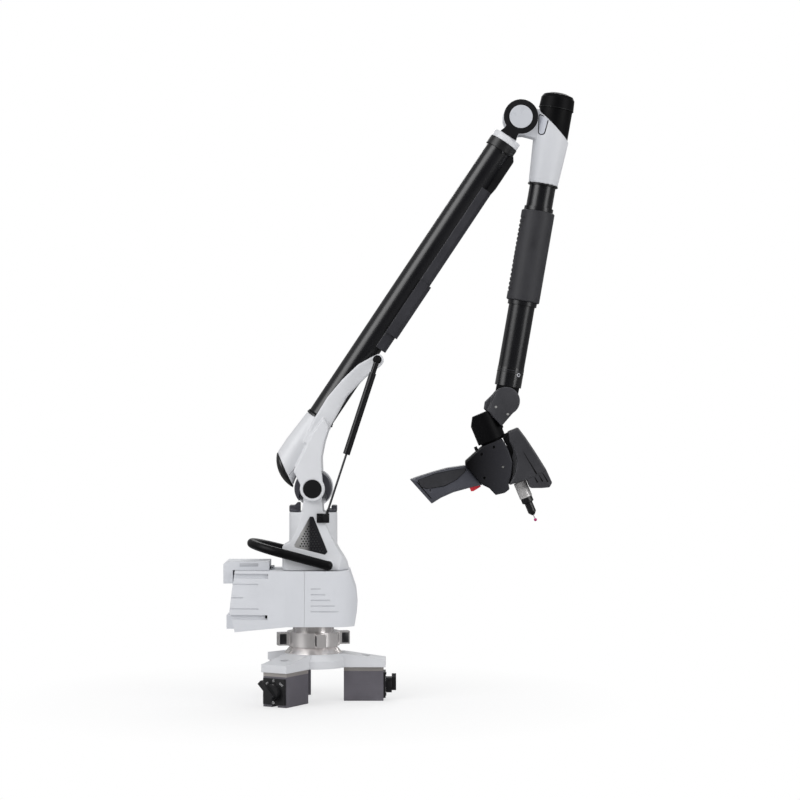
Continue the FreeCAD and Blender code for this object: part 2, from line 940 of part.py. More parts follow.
def plan_right(name, wall):
    """Plan of the right half, with its two large corners round."""
    half = s.base_half_width - wall
    reach = s.right_belly_reach - wall
    radius = s.plan_corner_radius - wall
    low = base_foot - s.base_half_width
    high = base_top + s.base_half_width
    start = s.seam_place - s.base_half_width
    long_part = box(f"{name}_long", (start, reach - radius), (-half, half), (low, high))
    short_part = box(f"{name}_short", (start, reach), (-half + radius, half - radius), (low, high))
    corners = [
        rod(f"{name}_corner_{sign}", radius, low, high, (reach - radius, sign * (half - radius)))
        for sign in (-1, 1)
    ]
    return fuse(name, long_part, short_part, *corners)


def plan_tail(name, wall):
    half = s.base_half_width - wall
    end_half = s.tail_end_half_width - wall
    end = -s.tail_belly_reach
    corners = [
        (end, -end_half),
        (-s.tail_crease, -half),
        (s.right_belly_reach, -half),
        (s.right_belly_reach, half),
        (-s.tail_crease, half),
        (end, end_half),
    ]
    return pad(name, corners, base_foot - s.base_half_width, base_top + s.base_half_width, "XY_Plane")


def base_cover_right():
    no_wall = FLOOR
    half = s.base_half_width
    outer = common(
        "right_outer",
        pad("right_side", shell_profile(no_wall, "right"), -half, half),
        plan_right("right_plan", no_wall),
    )
    inner = common(
        "right_inner",
        pad("right_side_in", shell_profile(s.base_wall, "right"), -half, half),
        plan_right("right_plan_in", s.base_wall),
    )
    top_hole = rod("right_top_hole", s.core_radius + s.running_gap, base_top - 2 * s.base_wall, base_top + 1)
    foot_hole = box(
        "right_foot_hole",
        (s.seam_place - s.base_wall, s.core_radius + 2 * s.fit_gap),
        (-half + s.base_wall, half - s.base_wall),
        (base_foot - 1, base_foot + s.base_wall + 1),
    )
    vents = []
    for k in range(SIZES["vent_count"]):
        length = s.vent_short + s.vent_growth * (SIZES["vent_count"] - 1 - k)
        height = base_foot + s.vent_low + s.vent_pitch * k
        faces = {"front": (-half - 1, -half + s.vent_depth), "rear": (half - s.vent_depth, half + 1)}
        for side, face in faces.items():
            vents.append(
                box(
                    f"vent_{side}_{k}",
                    (s.vent_start, s.vent_start + length),
                    face,
                    (height - s.vent_height / 2, height + s.vent_height / 2),
                )
            )
    whole = cut("base_cover_right", outer, inner, top_hole, foot_hole, *vents)
    node("base_cover_right", whole)


def tail_half_at(reach):
    """Half width of the tail at a distance behind the swivel axis."""
    taper = (s.base_half_width - s.tail_end_half_width) / (s.tail_belly_reach - s.tail_crease)
    return s.base_half_width - (reach - s.tail_crease) * taper


def tail_rows():
    """Rows pressed into the tail's sides: label, share of the height, inner end, height, depth."""
    return (
        ("top", 0.91, s.tail_crease + 33, s.tail_recess_height, s.tail_recess_depth),
        ("upper", 0.76, s.tail_crease + 51, s.groove_height, s.groove_depth),
        ("middle", 0.52, s.tail_crease + 79, s.groove_height, s.groove_depth),
        ("lower", 0.32, s.tail_crease + 51, s.groove_height, s.groove_depth),
        ("foot", 0.17, s.tail_crease + 34, s.tail_recess_height, s.tail_recess_depth),
    )


def tail_strip(name, sign, near, low, high, outside, inside):
    """Strip along one side of the tail, between two distances from its face."""
    far = s.tail_belly_reach + 5
    corners = [
        (-far, sign * (tail_half_at(far) - inside)),
        (-near, sign * (tail_half_at(near) - inside)),
        (-near, sign * (tail_half_at(near) + outside)),
        (-far, sign * (tail_half_at(far) + outside)),
    ]
    return pad(name, corners, low, high, "XY_Plane")


def tail_grooves():
    """Recesses at the upper and lower edge of both sides of the tail, and fine lines between."""
    grooves = []
    for label, share, near, height, depth in tail_rows():
        middle = base_foot + s.base_height * share
        for side, sign in (("front", -1), ("rear", 1)):
            low, high = middle - height / 2, middle + height / 2
            grooves.append(tail_strip(f"groove_{label}_{side}", sign, near, low, high, s.base_wall, depth))
    return grooves


def recess_backings():
    """Wall behind each deep recess, where it is deeper than the shell."""
    backings = []
    for label, share, near, height, depth in tail_rows():
        if number_of(depth) < SIZES["base_wall"]:
            continue
        middle = base_foot + s.base_height * share
        half = height / 2 + s.recess_backing
        for side, sign in (("front", -1), ("rear", 1)):
            name = f"backing_{label}_{side}"
            inside = depth + s.recess_backing
            edge = near - s.recess_backing
            backings.append(tail_strip(name, sign, edge, middle - half, middle + half, FLOOR, inside))
    return backings


latch_axis = (-s.battery_right + s.latch_length - s.running_gap, base_top + s.latch_height)


def latch_ears():
    """Two ears on the tail's top that carry the latch pin."""
    ears = []
    inner_face = s.latch_half_width + s.running_gap
    outer_face = inner_face + s.latch_ear
    reach = s.latch_pin_radius + s.ear_rim
    for side, low, high in (("front", -outer_face, -inner_face), ("rear", inner_face, outer_face)):
        ear = box(
            f"latch_ear_{side}",
            (latch_axis[0] - reach, latch_axis[0] + reach),
            (low, high),
            (base_top - s.base_wall / 2, latch_axis[1] + reach),
        )
        radius = s.latch_pin_radius + s.fit_gap
        hole = rod(f"latch_hole_{side}", radius, low - 1, high + 1, latch_axis, "Y")
        ears.append(cut(f"latch_ear_cut_{side}", ear, hole))
    return ears


board_foot = base_foot + s.board_post_height
board_left = s.tail_crease + s.board_inset + s.board_length


def board_posts():
    """Four posts that rise from the tail's sloping floor to the circuit board."""
    posts = []
    slope = s.tail_drop / (tail_foot_reach - s.tail_crease)
    inset = 2 * s.board_post_radius
    for end, reach in (("near", board_left - s.board_length + inset), ("far", board_left - inset)):
        foot = base_foot - (reach - s.tail_crease) * slope + s.base_wall / 2
        for sign in (-1, 1):
            at = (-reach, sign * (s.board_width / 2 - inset))
            posts.append(rod(f"board_post_{end}_{sign + 1}", s.board_post_radius, foot, board_foot, at))
    return posts


def base_cover_tail():
    no_wall = FLOOR
    half = s.base_half_width
    outer = common(
        "tail_outer",
        pad("tail_side", shell_profile(no_wall, "tail"), -half, half),
        plan_tail("tail_plan", no_wall),
    )
    inner = common(
        "tail_inner",
        pad("tail_side_in", shell_profile(s.base_wall, "tail"), -half, half),
        plan_tail("tail_plan_in", s.base_wall),
    )
    top_hole = rod("tail_top_hole", s.core_radius + s.running_gap, base_top - 2 * s.base_wall, base_top + 1)
    foot_hole = box(
        "tail_foot_hole",
        (-s.tail_crease, s.seam_place + s.base_wall),
        (-half + s.base_wall, half - s.base_wall),
        (base_foot - 1, base_foot + s.base_wall + 1),
    )
    slot_top = base_top - s.battery_top_drop + s.running_gap
    battery_slot = box(
        "tail_battery_slot",
        (-s.battery_handle_reach - s.tail_belly_reach, -tail_top_reach + 2 * s.base_wall),
        (-s.battery_half_width - s.running_gap, s.battery_half_width + s.running_gap),
        (slot_top - s.battery_height - 2 * s.running_gap, slot_top),
    )
    port_face = -s.tail_belly_reach - s.port_stand_out
    port_foot = base_foot - s.port_drop
    port = box(
        "connector_port",
        (port_face, -tail_foot_reach - s.base_wall / 3),
        (-s.battery_half_width, s.battery_half_width),
        (port_foot, port_foot + s.port_height),
    )
    sockets = [
        rod(
            f"connector_socket_{side}",
            s.port_socket_radius,
            port_face - 1,
            port_face + s.port_socket_depth,
            (sign * s.battery_half_width / 2, port_foot + s.port_height / 2),
            "X",
        )
        for side, sign in (("front", -1), ("rear", 1))
    ]
    shell = cut("tail_shell", outer, inner, top_hole, foot_hole, battery_slot)
    inside = common("tail_backings", outer, fuse("tail_backing_strips", *recess_backings()))
    backed = cut("tail_backed", fuse("tail_joined", shell, inside), *tail_grooves())
    port_shell = cut("connector_shell", port, *sockets)
    node("base_cover_tail", fuse("base_cover_tail", backed, port_shell, *latch_ears(), *board_posts()))


def circuit_board():
    half = s.board_width / 2
    top = board_foot + s.board_thickness
    board = box("board_plate", (-board_left, s.board_length - board_left), (-half, half), (board_foot, top))
    middle = board_left - s.board_length / 2
    chip = box(
        "board_chip",
        (-middle - s.chip_length / 2, s.chip_length / 2 - middle),
        (-s.chip_width / 2, s.chip_width / 2),
        (top, top + s.chip_height),
    )
    node("circuit_board", fuse("circuit_board", board, chip))


def battery_pack():
    """Battery that slides into the tail, with the end handle and top bar outside."""
    bar_foot = base_top + s.running_gap
    bar_top = bar_foot + s.battery_bar_height
    half = s.battery_bar_half_width
    leg_right = -tail_upper_reach + 2 * s.running_gap
    left = s.tail_belly_reach + s.battery_handle_reach
    corners = [
        (-left, base_top - s.battery_leg_drop),
        (leg_right, base_top - s.battery_leg_drop),
        (leg_right, bar_foot),
        (-s.battery_right, bar_foot),
        (-s.battery_right, bar_top),
        (-left + s.battery_chamfer, bar_top),
        (-left, bar_top - s.battery_chamfer),
    ]
    handle = pad("battery_handle", corners, -half, half)
    top = base_top - s.battery_top_drop
    cells = box(
        "battery_cells",
        (leg_right - 1, -s.battery_right),
        (-s.battery_half_width, s.battery_half_width),
        (top - s.battery_height, top),
    )
    node("battery_pack", fuse("battery_pack", handle, cells))


def battery_latch():
    x, z = latch_axis
    half = s.latch_half_width
    blade = box("latch_blade", (x - s.latch_length + 1.2, x + 1), (-half, half), (z - 2, z + 2))
    pin_end = half + s.running_gap + s.latch_ear
    pin = rod("latch_pin", s.latch_pin_radius, -pin_end, pin_end, latch_axis, "Y")
    node("battery_latch", fuse("battery_latch", blade, pin))


# ---------------------------------------------------------------- turret

cavity_top = turret_foot + 2 * s.swivel_flange_height + s.turret_skirt / 2


def swivel_shaft():
    """Hollow shaft in the base bearings, its encoder disc and the flange under the turret."""
    foot = base_foot + s.chassis_thickness + s.swivel_gap
    flange_foot = cavity_top - s.swivel_flange_height
    disc_foot = foot + s.swivel_bearing_height + 20
    radius = s.swivel_shaft_radius
    profile = [
        (s.wire_bore, foot),
        (radius, foot),
        (radius, disc_foot),
        (s.encoder_radius, disc_foot),
        (s.encoder_radius, disc_foot + s.encoder_height),
        (radius, disc_foot + s.encoder_height),
        (radius, flange_foot),
        (s.swivel_flange_radius, flange_foot),
        (s.swivel_flange_radius, cavity_top),
        (s.wire_bore, cavity_top),
    ]
    node("swivel_shaft", turned("swivel_shaft", profile))


def turret_front():
    """The A-shaped face of the turret, from its rim to the end of the shoulder hub."""
    neck = s.neck_half_width
    waist = turret_foot + s.turret_skirt
    hub = s.shoulder_height
    return [
        (-s.turret_left, turret_foot),
        (s.turret_right, turret_foot),
        (s.turret_right - 4, turret_foot + s.turret_flare * 0.4),
        (s.column_radius + 4, turret_foot + s.turret_flare),
        (2 * neck, waist + s.turret_skirt * 0.4),
        (neck + 4, column_top - 14),
        (neck, hub - s.hub_end_radius - 3),
        (neck, hub),
        (-neck, hub),
        (-neck, hub - s.hub_end_radius - 3),
        (-neck - 4, column_top - 6),
        (-neck - 12, column_top - 30),
        (-s.column_radius + 3, waist + 8),
        (-s.turret_left, waist),
    ]


def turret_side():
    """Side outline of the turret: wider at the rim than at the shoulder."""
    wide = s.turret_rim_half_width
    narrow = s.turret_half_width
    knee = turret_foot + s.turret_skirt * 0.6
    top = s.shoulder_height + s.rear_rim_radius
    return [
        (-wide, turret_foot),
        (wide, turret_foot),
        (narrow, knee),
        (narrow, top),
        (-narrow, top),
        (-narrow, knee),
    ]


def grille_outline(margin):
    """Triangle of the grille, its corners cut blunt, drawn in by a margin."""
    left = -s.grille_left + margin * 1.6
    right = s.grille_right - margin * 1.4
    apex = grille_apex - margin * 2.2
    low_left = s.grille_left_height + margin
    low_right = s.grille_right_height + margin * 1.4
    corner = s.grille_corner
    return [
        (left, low_left),
        (right - corner, low_right),
        (right, low_right + corner),
        (s.grille_apex_place + s.grille_apex_half_width, apex),
        (s.grille_apex_place - s.grille_apex_half_width, apex),
        (left, low_left + corner),
    ]


def turret_casting():
    half = s.turret_half_width
    hub_at = (0, s.shoulder_height)
    wide = s.turret_rim_half_width + 1
    face = pad("turret_face", turret_front(), -wide, wide)
    side = pad("turret_profile", turret_side(), -s.turret_right - 10, s.turret_right + 10, "YZ_Plane")
    rim = rod("turret_rim", s.turret_rim_radius, turret_foot, s.shoulder_height + 60)
    shape = common("turret_trimmed", common("turret_shape", face, side), rim)
    column = rod("turret_column", s.column_radius, turret_foot, column_top)
    flat = box(
        "turret_flats",
        (-s.column_radius - 1, s.column_radius + 1),
        (-half, half),
        (turret_foot, column_top + 1),
    )
    hub = rod("turret_hub", s.hub_end_radius, -half, half, hub_at, "Y")
    rear = rod("turret_rear_rim", s.rear_rim_radius, s.shroud_half_width, half, hub_at, "Y")
    bosses = []
    tools = []
    handle_at = (s.handle_end_x, s.handle_end_height)
    reach = s.turret_rim_half_width
    for sign in (-1, 1):
        low, high = (-reach, -half + 6) if sign < 0 else (half - 6, reach)
        bosses.append(rod(f"handle_boss_{sign + 1}", s.handle_boss_radius, low, high, handle_at, "Y"))
        recess_low, recess_high = (-half - 1, -half + s.grille_thickness) if sign < 0 else (
            half - s.grille_thickness,
            half + 1,
        )
        tools.append(pad(f"grille_recess_{sign + 1}", grille_outline(FLOOR), recess_low, recess_high))
    window = pad("grille_window", grille_outline(s.grille_thickness), -half - 1, half + 1)
    cavity_radius = s.swivel_flange_radius + s.fit_gap
    tools.append(rod("turret_cavity", cavity_radius, turret_foot - 1, cavity_top))
    chamber = rod(
        "turret_chamber",
        s.column_radius - s.column_wall,
        cavity_top + s.column_wall,
        column_top - s.column_wall,
    )
    chamber_flats = box(
        "turret_chamber_flats",
        (-s.column_radius, s.column_radius),
        (-half + s.column_wall, half - s.column_wall),
        (cavity_top, column_top),
    )
    tools.append(common("turret_chamber_cut", chamber, chamber_flats))
    tools.append(window)
    tools.append(rod("turret_wire_bore", s.wire_bore - 2, cavity_top - 1, cavity_top + s.column_wall + 1))
    bearing = s.shoulder_bearing_radius + s.fit_gap
    for sign in (-1, 1):
        low, high = (-half - 1, -half + s.shoulder_bearing_width) if sign < 0 else (
            half - s.shoulder_bearing_width,
            half + 1,
        )
        tools.append(rod(f"shoulder_seat_{sign + 1}", bearing, low, high, hub_at, "Y"))
    tools.append(rod("shoulder_bore", s.shoulder_axle_radius + 2, -half - 1, half + 1, hub_at, "Y"))
    whole = fuse("turret_whole", shape, common("turret_column_flat", column, flat), hub, rear, *bosses)
    node("turret_casting", cut("turret_casting", whole, *tools))


def grille_hole_places():
    """Staggered rows of holes that fill the grille up to its border."""
    pitch = SIZES["grille_pitch"]
    apex_x = SIZES["grille_apex_place"]
    apex = number_of(grille_apex)
    border = SIZES["grille_border"] + SIZES["grille_hole_radius"]
    height = SIZES["grille_right_height"] + 2 * border
    places = []
    row = 0
    while height < apex - 2 * border:
        left = edge_x(height, -SIZES["grille_left"], SIZES["grille_left_height"], apex_x, apex)
        right = edge_x(height, SIZES["grille_right"], SIZES["grille_right_height"], apex_x, apex)
        x = apex_x + (pitch / 2 if row % 2 else 0)
        x -= pitch * math.floor((x - left) / pitch)
        while x < right - 1.4 * border:
            if x > left + 1.4 * border and height - base_line(x) > border:
                places.append((x, height))
            x += pitch
        row += 1
        height += pitch * math.sqrt(3) / 2
    return places


def turret_grilles():
    """Perforated plates in both faces of the turret."""
    half = s.turret_half_width
    thickness = s.grille_thickness
    plates = []
    for side, low, high in (("front", -half, -half + thickness), ("rear", half - thickness, half)):
        plate = pad(f"grille_plate_{side}", grille_outline(s.fit_gap), low, high)
        holes = [
            rod(f"grille_hole_{side}_{k}", s.grille_hole_radius, low - 1, high + 1, at, "Y")
            for k, at in enumerate(grille_hole_places())
        ]
        plates.append(cut(f"grille_{side}", plate, *holes))
    node("turret_grilles", group("turret_grilles", *plates))


def edge_x(height, foot_x, foot_height, apex_x, apex_height):
    """Place of a slanting grille edge at a height."""
    share = (height - foot_height) / (apex_height - foot_height)
    return foot_x + (apex_x - foot_x) * share


def base_line(x):
    """Height of the grille's lower edge at a place along it."""
    left, right = -SIZES["grille_left"], SIZES["grille_right"]
    share = (x - left) / (right - left)
    low, high = SIZES["grille_right_height"], SIZES["grille_left_height"]
    return high + (low - high) * share


def turret_shroud():
    """Dark cover of the shoulder hub between the turret's faces, and the collar on the column."""
    half = s.shroud_half_width
    hub_at = (0, s.shoulder_height)
    disc = rod("shroud_disc", s.shroud_radius, -half, half, hub_at, "Y")
    bore = rod("shroud_bore", s.hub_end_radius + s.fit_gap, -half - 1, half + 1, hub_at, "Y")
    neck = s.neck_half_width + 8
    slot = box(
        "shroud_slot",
        (-neck, neck),
        (-half - 1, half + 1),
        (s.shoulder_height - s.shroud_radius - 1, s.shoulder_height - 8),
    )
    shroud = cut("shroud", disc, bore, slot)
    outer = s.column_radius - s.running_gap
    collar = ring("collar_ring", outer - s.column_wall, outer, column_top, column_top + s.collar_height)
    faces = box(
        "collar_faces",
        (-outer, outer),
        (-half, half),
        (column_top, column_top + 2 * s.collar_height),
    )
    ear_top = column_top + s.collar_ear_height
    ear_half = s.collar_ear_half_width
    left_start = -outer + s.running_gap
    left_end = left_start + s.ear_left_length
    left_corners = [
        (left_start, column_top),
        (left_end, column_top),
        (left_end, ear_top + s.collar_height),
        (left_end - s.ear_left_length * 0.3, ear_top + s.collar_height),
        (left_end - s.ear_left_length * 0.5, ear_top),
        (left_start, ear_top),
    ]
    left = pad("collar_ear_left", left_corners, -ear_half, ear_half)
    right = box(
        "collar_ear_right",
        (outer - s.running_gap - s.ear_right_length, outer - s.running_gap),
        (-ear_half, ear_half),
        (column_top, ear_top),
    )
    piece = fuse("collar", common("collar_flat", collar, faces), left, right)
    node("turret_shroud", group("turret_shroud", shroud, piece))


def carry_handle():
    """U-shaped tube, tilted, its ends bent in to bosses on both sides of the turret."""
    tube = s.handle_radius
    span = s.handle_half_span
    straight = s.handle_length - span
    bend = doc.addObject("Part::Torus", "handle_bend")
    bind(bend, "Radius1", span)
    bind(bend, "Radius2", tube)
    bend.Angle3 = 180
    bend_at = FreeCAD.Vector(-number_of(straight), 0, 0)
    bend.Placement = FreeCAD.Placement(bend_at, FreeCAD.Rotation(Z_AXIS, 90))
    pieces = [bend]
    for sign in (-1, 1):
        pieces.append(rod(f"handle_leg_{sign + 1}", tube, -straight, FLOOR, (sign * span, 0), "X"))
        pieces.append(ball(f"handle_end_{sign + 1}", tube, (0, sign * span, 0)))
        inner = s.turret_rim_half_width
        low, high = (-span, -inner) if sign < 0 else (inner, span)
        pieces.append(rod(f"handle_stub_{sign + 1}", tube, low, high, (0, 0), "Y"))
    place_vector = FreeCAD.Vector(SIZES["handle_end_x"], 0, SIZES["handle_end_height"])
    frame = FreeCAD.Placement(place_vector, FreeCAD.Rotation(Y_AXIS, SIZES["handle_tilt"]))
    node("carry_handle", fuse("carry_handle", *pieces), frame)


def shoulder_bearings():
    half = s.turret_half_width
    inner = s.shoulder_axle_radius + s.fit_gap
    hub_at = (0, s.shoulder_height)
    rings = []
    for side, low, high in (
        ("front", -half, -half + s.shoulder_bearing_width),
        ("rear", half - s.shoulder_bearing_width, half),
    ):
        outer = rod(f"shoulder_bearing_{side}", s.shoulder_bearing_radius, low, high, hub_at, "Y")
        hole = rod(f"shoulder_bearing_hole_{side}", inner, low - 1, high + 1, hub_at, "Y")
        rings.append(cut(f"shoulder_bearing_cut_{side}", outer, hole))
    node("shoulder_bearings", group("shoulder_bearings", *rings))


# ---------------------------------------------------------------- gas strut

STRUT_TOP = ARM.multVec(FreeCAD.Vector(SIZES["horn_length"], 0, SIZES["tube_offset"] - SIZES["horn_drop"]))
# STRUT: origin on the upper pivot, Z back up along the strut
STRUT = FreeCAD.Placement(STRUT_TOP, FreeCAD.Rotation(Y_AXIS, number_of(s.strut_lean)))
STRUT_FOOT = STRUT.multVec(FreeCAD.Vector(0, 0, -SIZES["strut_length"]))
eye_inner = leg_outer + s.strut_gap - 0.6
strut_middle = eye_inner + s.strut_eye_thickness / 2


def strut_lower_bracket():
    """Plate screwed to the turret's face, with the boss behind the strut's lower eye."""
    face = s.turret_half_width
    plate_y = face + s.bracket_plate_thickness
    foot_x, foot_z = STRUT_FOOT.x, STRUT_FOOT.z
    plate = box(
        "bracket_plate",
        (foot_x - s.bracket_plate_left, foot_x + s.bracket_plate_right),
        (-plate_y, -face),
        (foot_z - s.bracket_plate_foot, foot_z + s.bracket_plate_top),
    )
    boss_end = -eye_inner + s.running_gap
    boss = rod("bracket_boss", s.bracket_boss_radius, boss_end, -plate_y, (foot_x, foot_z), "Y")
    bolt_at = (foot_x - s.bracket_bolt_place, foot_z - 3)
    bolt = rod("bracket_bolt", s.bracket_bolt_radius, -plate_y - 3, -plate_y, bolt_at, "Y")
    node("strut_lower_bracket", fuse("strut_lower_bracket", plate, boss, bolt))


def strut_cylinder():
    """Pressure tube with its head and the eye round the upper stud."""
    y = (-strut_middle - s.strut_eye_thickness / 2, -strut_middle + s.strut_eye_thickness / 2)
    eye = rod("strut_upper_eye", s.strut_eye_radius, *y, (0, 0), "Y")
    head = rod("strut_head", s.strut_radius - s.strut_wall, -s.strut_head_length - 1, -s.strut_eye_radius + 2)
    place(head, 0, -strut_middle, -s.strut_head_length - 1)
    top = -s.strut_head_length
    foot = top - s.strut_cylinder_length
    tube = rod("strut_tube", s.strut_radius, foot, top, (0, -strut_middle))
    hole = rod("strut_eye_hole", s.stud_radius + s.running_gap, y[0] - 1, y[1] + 1, (0, 0), "Y")
    gland_end = foot + s.strut_gland_length
    at = (0, -strut_middle)
    bore = rod("strut_bore", s.strut_radius - s.strut_wall, gland_end, top - 4 * s.strut_wall, at)
    gland = rod("strut_gland", s.strut_rod_radius + s.running_gap, foot - 1, gland_end + 1, at)
    whole = cut("strut_cylinder", fuse("strut_body", eye, head, tube), hole, bore, gland)
    node("strut_cylinder", whole, STRUT)


def strut_rod():
    """Piston, rod and the lower eye."""
    y = (-strut_middle - s.strut_eye_thickness / 2, -strut_middle + s.strut_eye_thickness / 2)
    foot = -s.strut_length
    cylinder_foot = -s.strut_head_length - s.strut_cylinder_length
    piston_top = cylinder_foot + s.strut_piston_place
    shaft = rod("strut_shaft", s.strut_rod_radius, foot, piston_top, (0, -strut_middle))
    piston_radius = s.strut_radius - s.strut_wall - s.running_gap
    piston_foot = piston_top - s.strut_piston_length
    piston = rod("strut_piston", piston_radius, piston_foot, piston_top, (0, -strut_middle))
    eye = rod("strut_lower_eye", s.bracket_boss_radius + 1, *y, (0, foot), "Y")
    socket_top = foot + s.strut_socket_length
    sleeve = rod("strut_socket", s.strut_rod_radius * 1.35, foot + 2, socket_top, (0, -strut_middle))
    node("strut_rod", fuse("strut_rod", shaft, piston, eye, sleeve), STRUT)


# ---------------------------------------------------------------- upper arm


def horn_outline():
    """Side view of the yoke's horn, from the barrel to its tip at the strut's upper pivot."""
    tip_z = s.tube_offset - s.horn_drop
    tip = s.horn_tip_radius
    start = s.barrel_mouth
    reach = s.horn_length
    return [
        (start - 50, s.tube_offset - s.barrel_end_radius + 4),
        (start - 50, s.tube_offset),
        (start, s.tube_offset + 8.4),
        (start + 0.28 * (reach - start), s.tube_offset + 10),
        (start + 0.57 * (reach - start), s.tube_offset + 5),
        (start + 0.83 * (reach - start), s.tube_offset - 4),
        (reach, tip_z + tip),
        (reach + tip, tip_z + tip * 0.4),
        (reach + tip, tip_z - tip * 0.4),
        (reach + 0.4 * tip, tip_z - tip),
        (reach - 0.4 * tip, tip_z - tip),
        (reach - 40, tip_z + 1),
        (start + 0.42 * (reach - start), s.tube_offset - 20),
        (start + 0.1 * (reach - start), s.tube_offset - 24),
    ]


def leg_outline():
    """Side view of the yoke's legs, from the barrel down to the rings on the shoulder axle."""
    ring_radius = s.leg_ring_radius
    return [
        (-ring_radius * 0.3, ring_radius * 0.9),
        (ring_radius * 0.35, s.tube_offset - 14),
        (s.barrel_mouth - 30, s.tube_offset - 4),
        (s.barrel_mouth + 8, s.tube_offset - 6),
        (s.barrel_mouth - 2, s.tube_offset - 24),
        (s.barrel_mouth - 30, s.tube_offset - 32),
        (s.barrel_mouth / 2, s.tube_offset - 43),
        (ring_radius * 1.5, ring_radius * 0.1),
        (ring_radius * 0.9, -ring_radius * 0.4),
    ]


def shoulder_yoke():
    """Casting that holds the upper tube, with two legs on the shoulder axle and the horn."""
    half = s.horn_half_width
    barrel = turned(
        "yoke_barrel",
        [
            (0, s.barrel_end),
            (s.barrel_end_radius, s.barrel_end),
            (s.barrel_end_radius, s.barrel_end + 30),
            (s.barrel_mouth_radius, s.barrel_mouth),
            (0, s.barrel_mouth),
        ],
    )
    barrel.Placement = frame_at(0, s.tube_offset, 90)
    horn = pad("yoke_horn", horn_outline(), -half, half)
    legs = pad("yoke_legs", leg_outline(), -leg_outer, leg_outer)
    rings = rod("yoke_rings", s.leg_ring_radius, -leg_outer, leg_outer, (0, 0), "Y")
    clear = s.shroud_radius + 6 * s.leg_gap
    gap = rod("yoke_gap", clear, -leg_inner, leg_inner, (0, 0), "Y")
    shroud_clear = rod("yoke_clear", s.rear_rim_radius + 1.2, -leg_inner, leg_inner, (0, 0), "Y")
    seat_end = s.horn_length + 4 * s.horn_tip_radius
    at = (0, s.tube_offset)
    tube_seat = rod("yoke_tube_seat", s.tube_radius + s.fit_gap, s.tube_start, seat_end, at, "X")
    cavity = rod("yoke_cavity", s.tube_radius - 2, s.barrel_end - 1, s.tube_start + 1, at, "X")
    axle_bore = s.shoulder_axle_radius + s.fit_gap
    axle = rod("yoke_axle_bore", axle_bore, -leg_outer - 1, leg_outer + 1, (0, 0), "Y")
    caps = []
    for side, low, high in (
        ("front", -leg_outer - 1, -leg_outer + s.cap_thickness),
        ("rear", leg_outer - s.cap_thickness, leg_outer + 1),
    ):
        caps.append(rod(f"yoke_cap_seat_{side}", s.cap_radius + s.fit_gap, low, high, (0, 0), "Y"))
    cap_room = box(
        "yoke_cap_room",
        (s.barrel_end - 2 * s.end_cap_length, s.barrel_end),
        (-s.barrel_end_radius - s.fit_gap, s.barrel_end_radius + s.fit_gap),
        (FLOOR, s.tube_offset + 2 * s.barrel_end_radius),
    )
    channel_half = s.guard_half_width + s.channel_gap
    channel = box(
        "yoke_channel",
        (s.barrel_mouth + 8, s.horn_length + 4 * s.horn_tip_radius),
        (-channel_half, channel_half),
        (FLOOR, s.tube_offset + 2 * s.barrel_end_radius),
    )
    horn_open = cut("yoke_horn_open", horn, channel)
    heel_foot = s.barrel_end - s.end_cap_length
    heel = rod("yoke_heel", s.barrel_end_radius, heel_foot, s.barrel_end, at, "X")
    heel_above = cut("yoke_heel_above", heel, below_cap_plane("yoke_heel_plane", FLOOR))
    heel_inside = s.barrel_end_radius - s.heel_wall
    heel_hollow = rod("yoke_heel_hollow", heel_inside, heel_foot + s.heel_wall, s.barrel_end + 1, at, "X")
    whole = fuse("yoke_whole", barrel, horn_open, legs, rings)
    cleared = cut("yoke_cleared", whole, cap_room)
    joined = fuse("yoke_joined", cleared, cut("yoke_heel_shell", heel_above, heel_hollow))
    result = cut("shoulder_yoke", joined, gap, shroud_clear, tube_seat, cavity, axle, *caps)
    node("shoulder_yoke", result, ARM)


def below_cap_plane(name, shift):
    """Everything below the slanting plane where the black cap meets the barrel, moved by a shift."""
    size = 4 * s.barrel_end_radius
    blank = box(f"{name}_blank", (-size - shift, -shift), (-size / 2, size / 2), (-size / 2, size / 2))
    slanted = group(name, blank)
    slanted.Placement = frame_at(0, s.tube_offset, s.end_cap_slant)
    return slanted


def yoke_end_cap():
    """Black cap on the lower end of the yoke's barrel, cut slanting and domed below."""
    foot = s.barrel_end - 2 * s.end_cap_length
    dome = ball("end_cap_ball", s.end_cap_round, (s.end_cap_round - s.end_cap_bulge, 0, 0))
    domed = group("end_cap_dome", dome)
    domed.Placement = frame_at(0, s.tube_offset, s.end_cap_slant)
    barrel = rod("end_cap_barrel", s.barrel_end_radius, foot, s.barrel_mouth, (0, s.tube_offset), "X")
    lens = common("end_cap_lens", barrel, domed)
    clear = rod("end_cap_clear", s.rear_rim_radius + 1.2, -leg_outer - 5, leg_outer + 5, (0, 0), "Y")
    below = common("end_cap_below", lens, below_cap_plane("end_cap_plane", s.fit_gap))
    node("yoke_end_cap", cut("yoke_end_cap", below, clear), ARM)


def shoulder_axle():
    axle_end = leg_outer - s.cap_thickness
    axle = rod("axle_shaft", s.shoulder_axle_radius, -axle_end, axle_end, (0, 0), "Y")
    node("shoulder_axle", group("shoulder_axle", axle), ARM)


def shoulder_caps():
    front = rod("shoulder_cap_front", s.cap_radius, -leg_outer, -leg_outer + s.cap_thickness, (0, 0), "Y")
    rear = rod("shoulder_cap_rear", s.cap_radius, leg_outer - s.cap_thickness, leg_outer, (0, 0), "Y")
    node("shoulder_caps", group("shoulder_caps", front, rear), ARM)


tube_end = s.tube_reach - s.band_length - s.elbow_collar_place - s.elbow_collar_length


def upper_tube():
    outer = s.tube_radius
    inner = outer - s.tube_wall
    node("upper_tube", ring("upper_tube", inner, outer, s.tube_start, tube_end), TUBE)


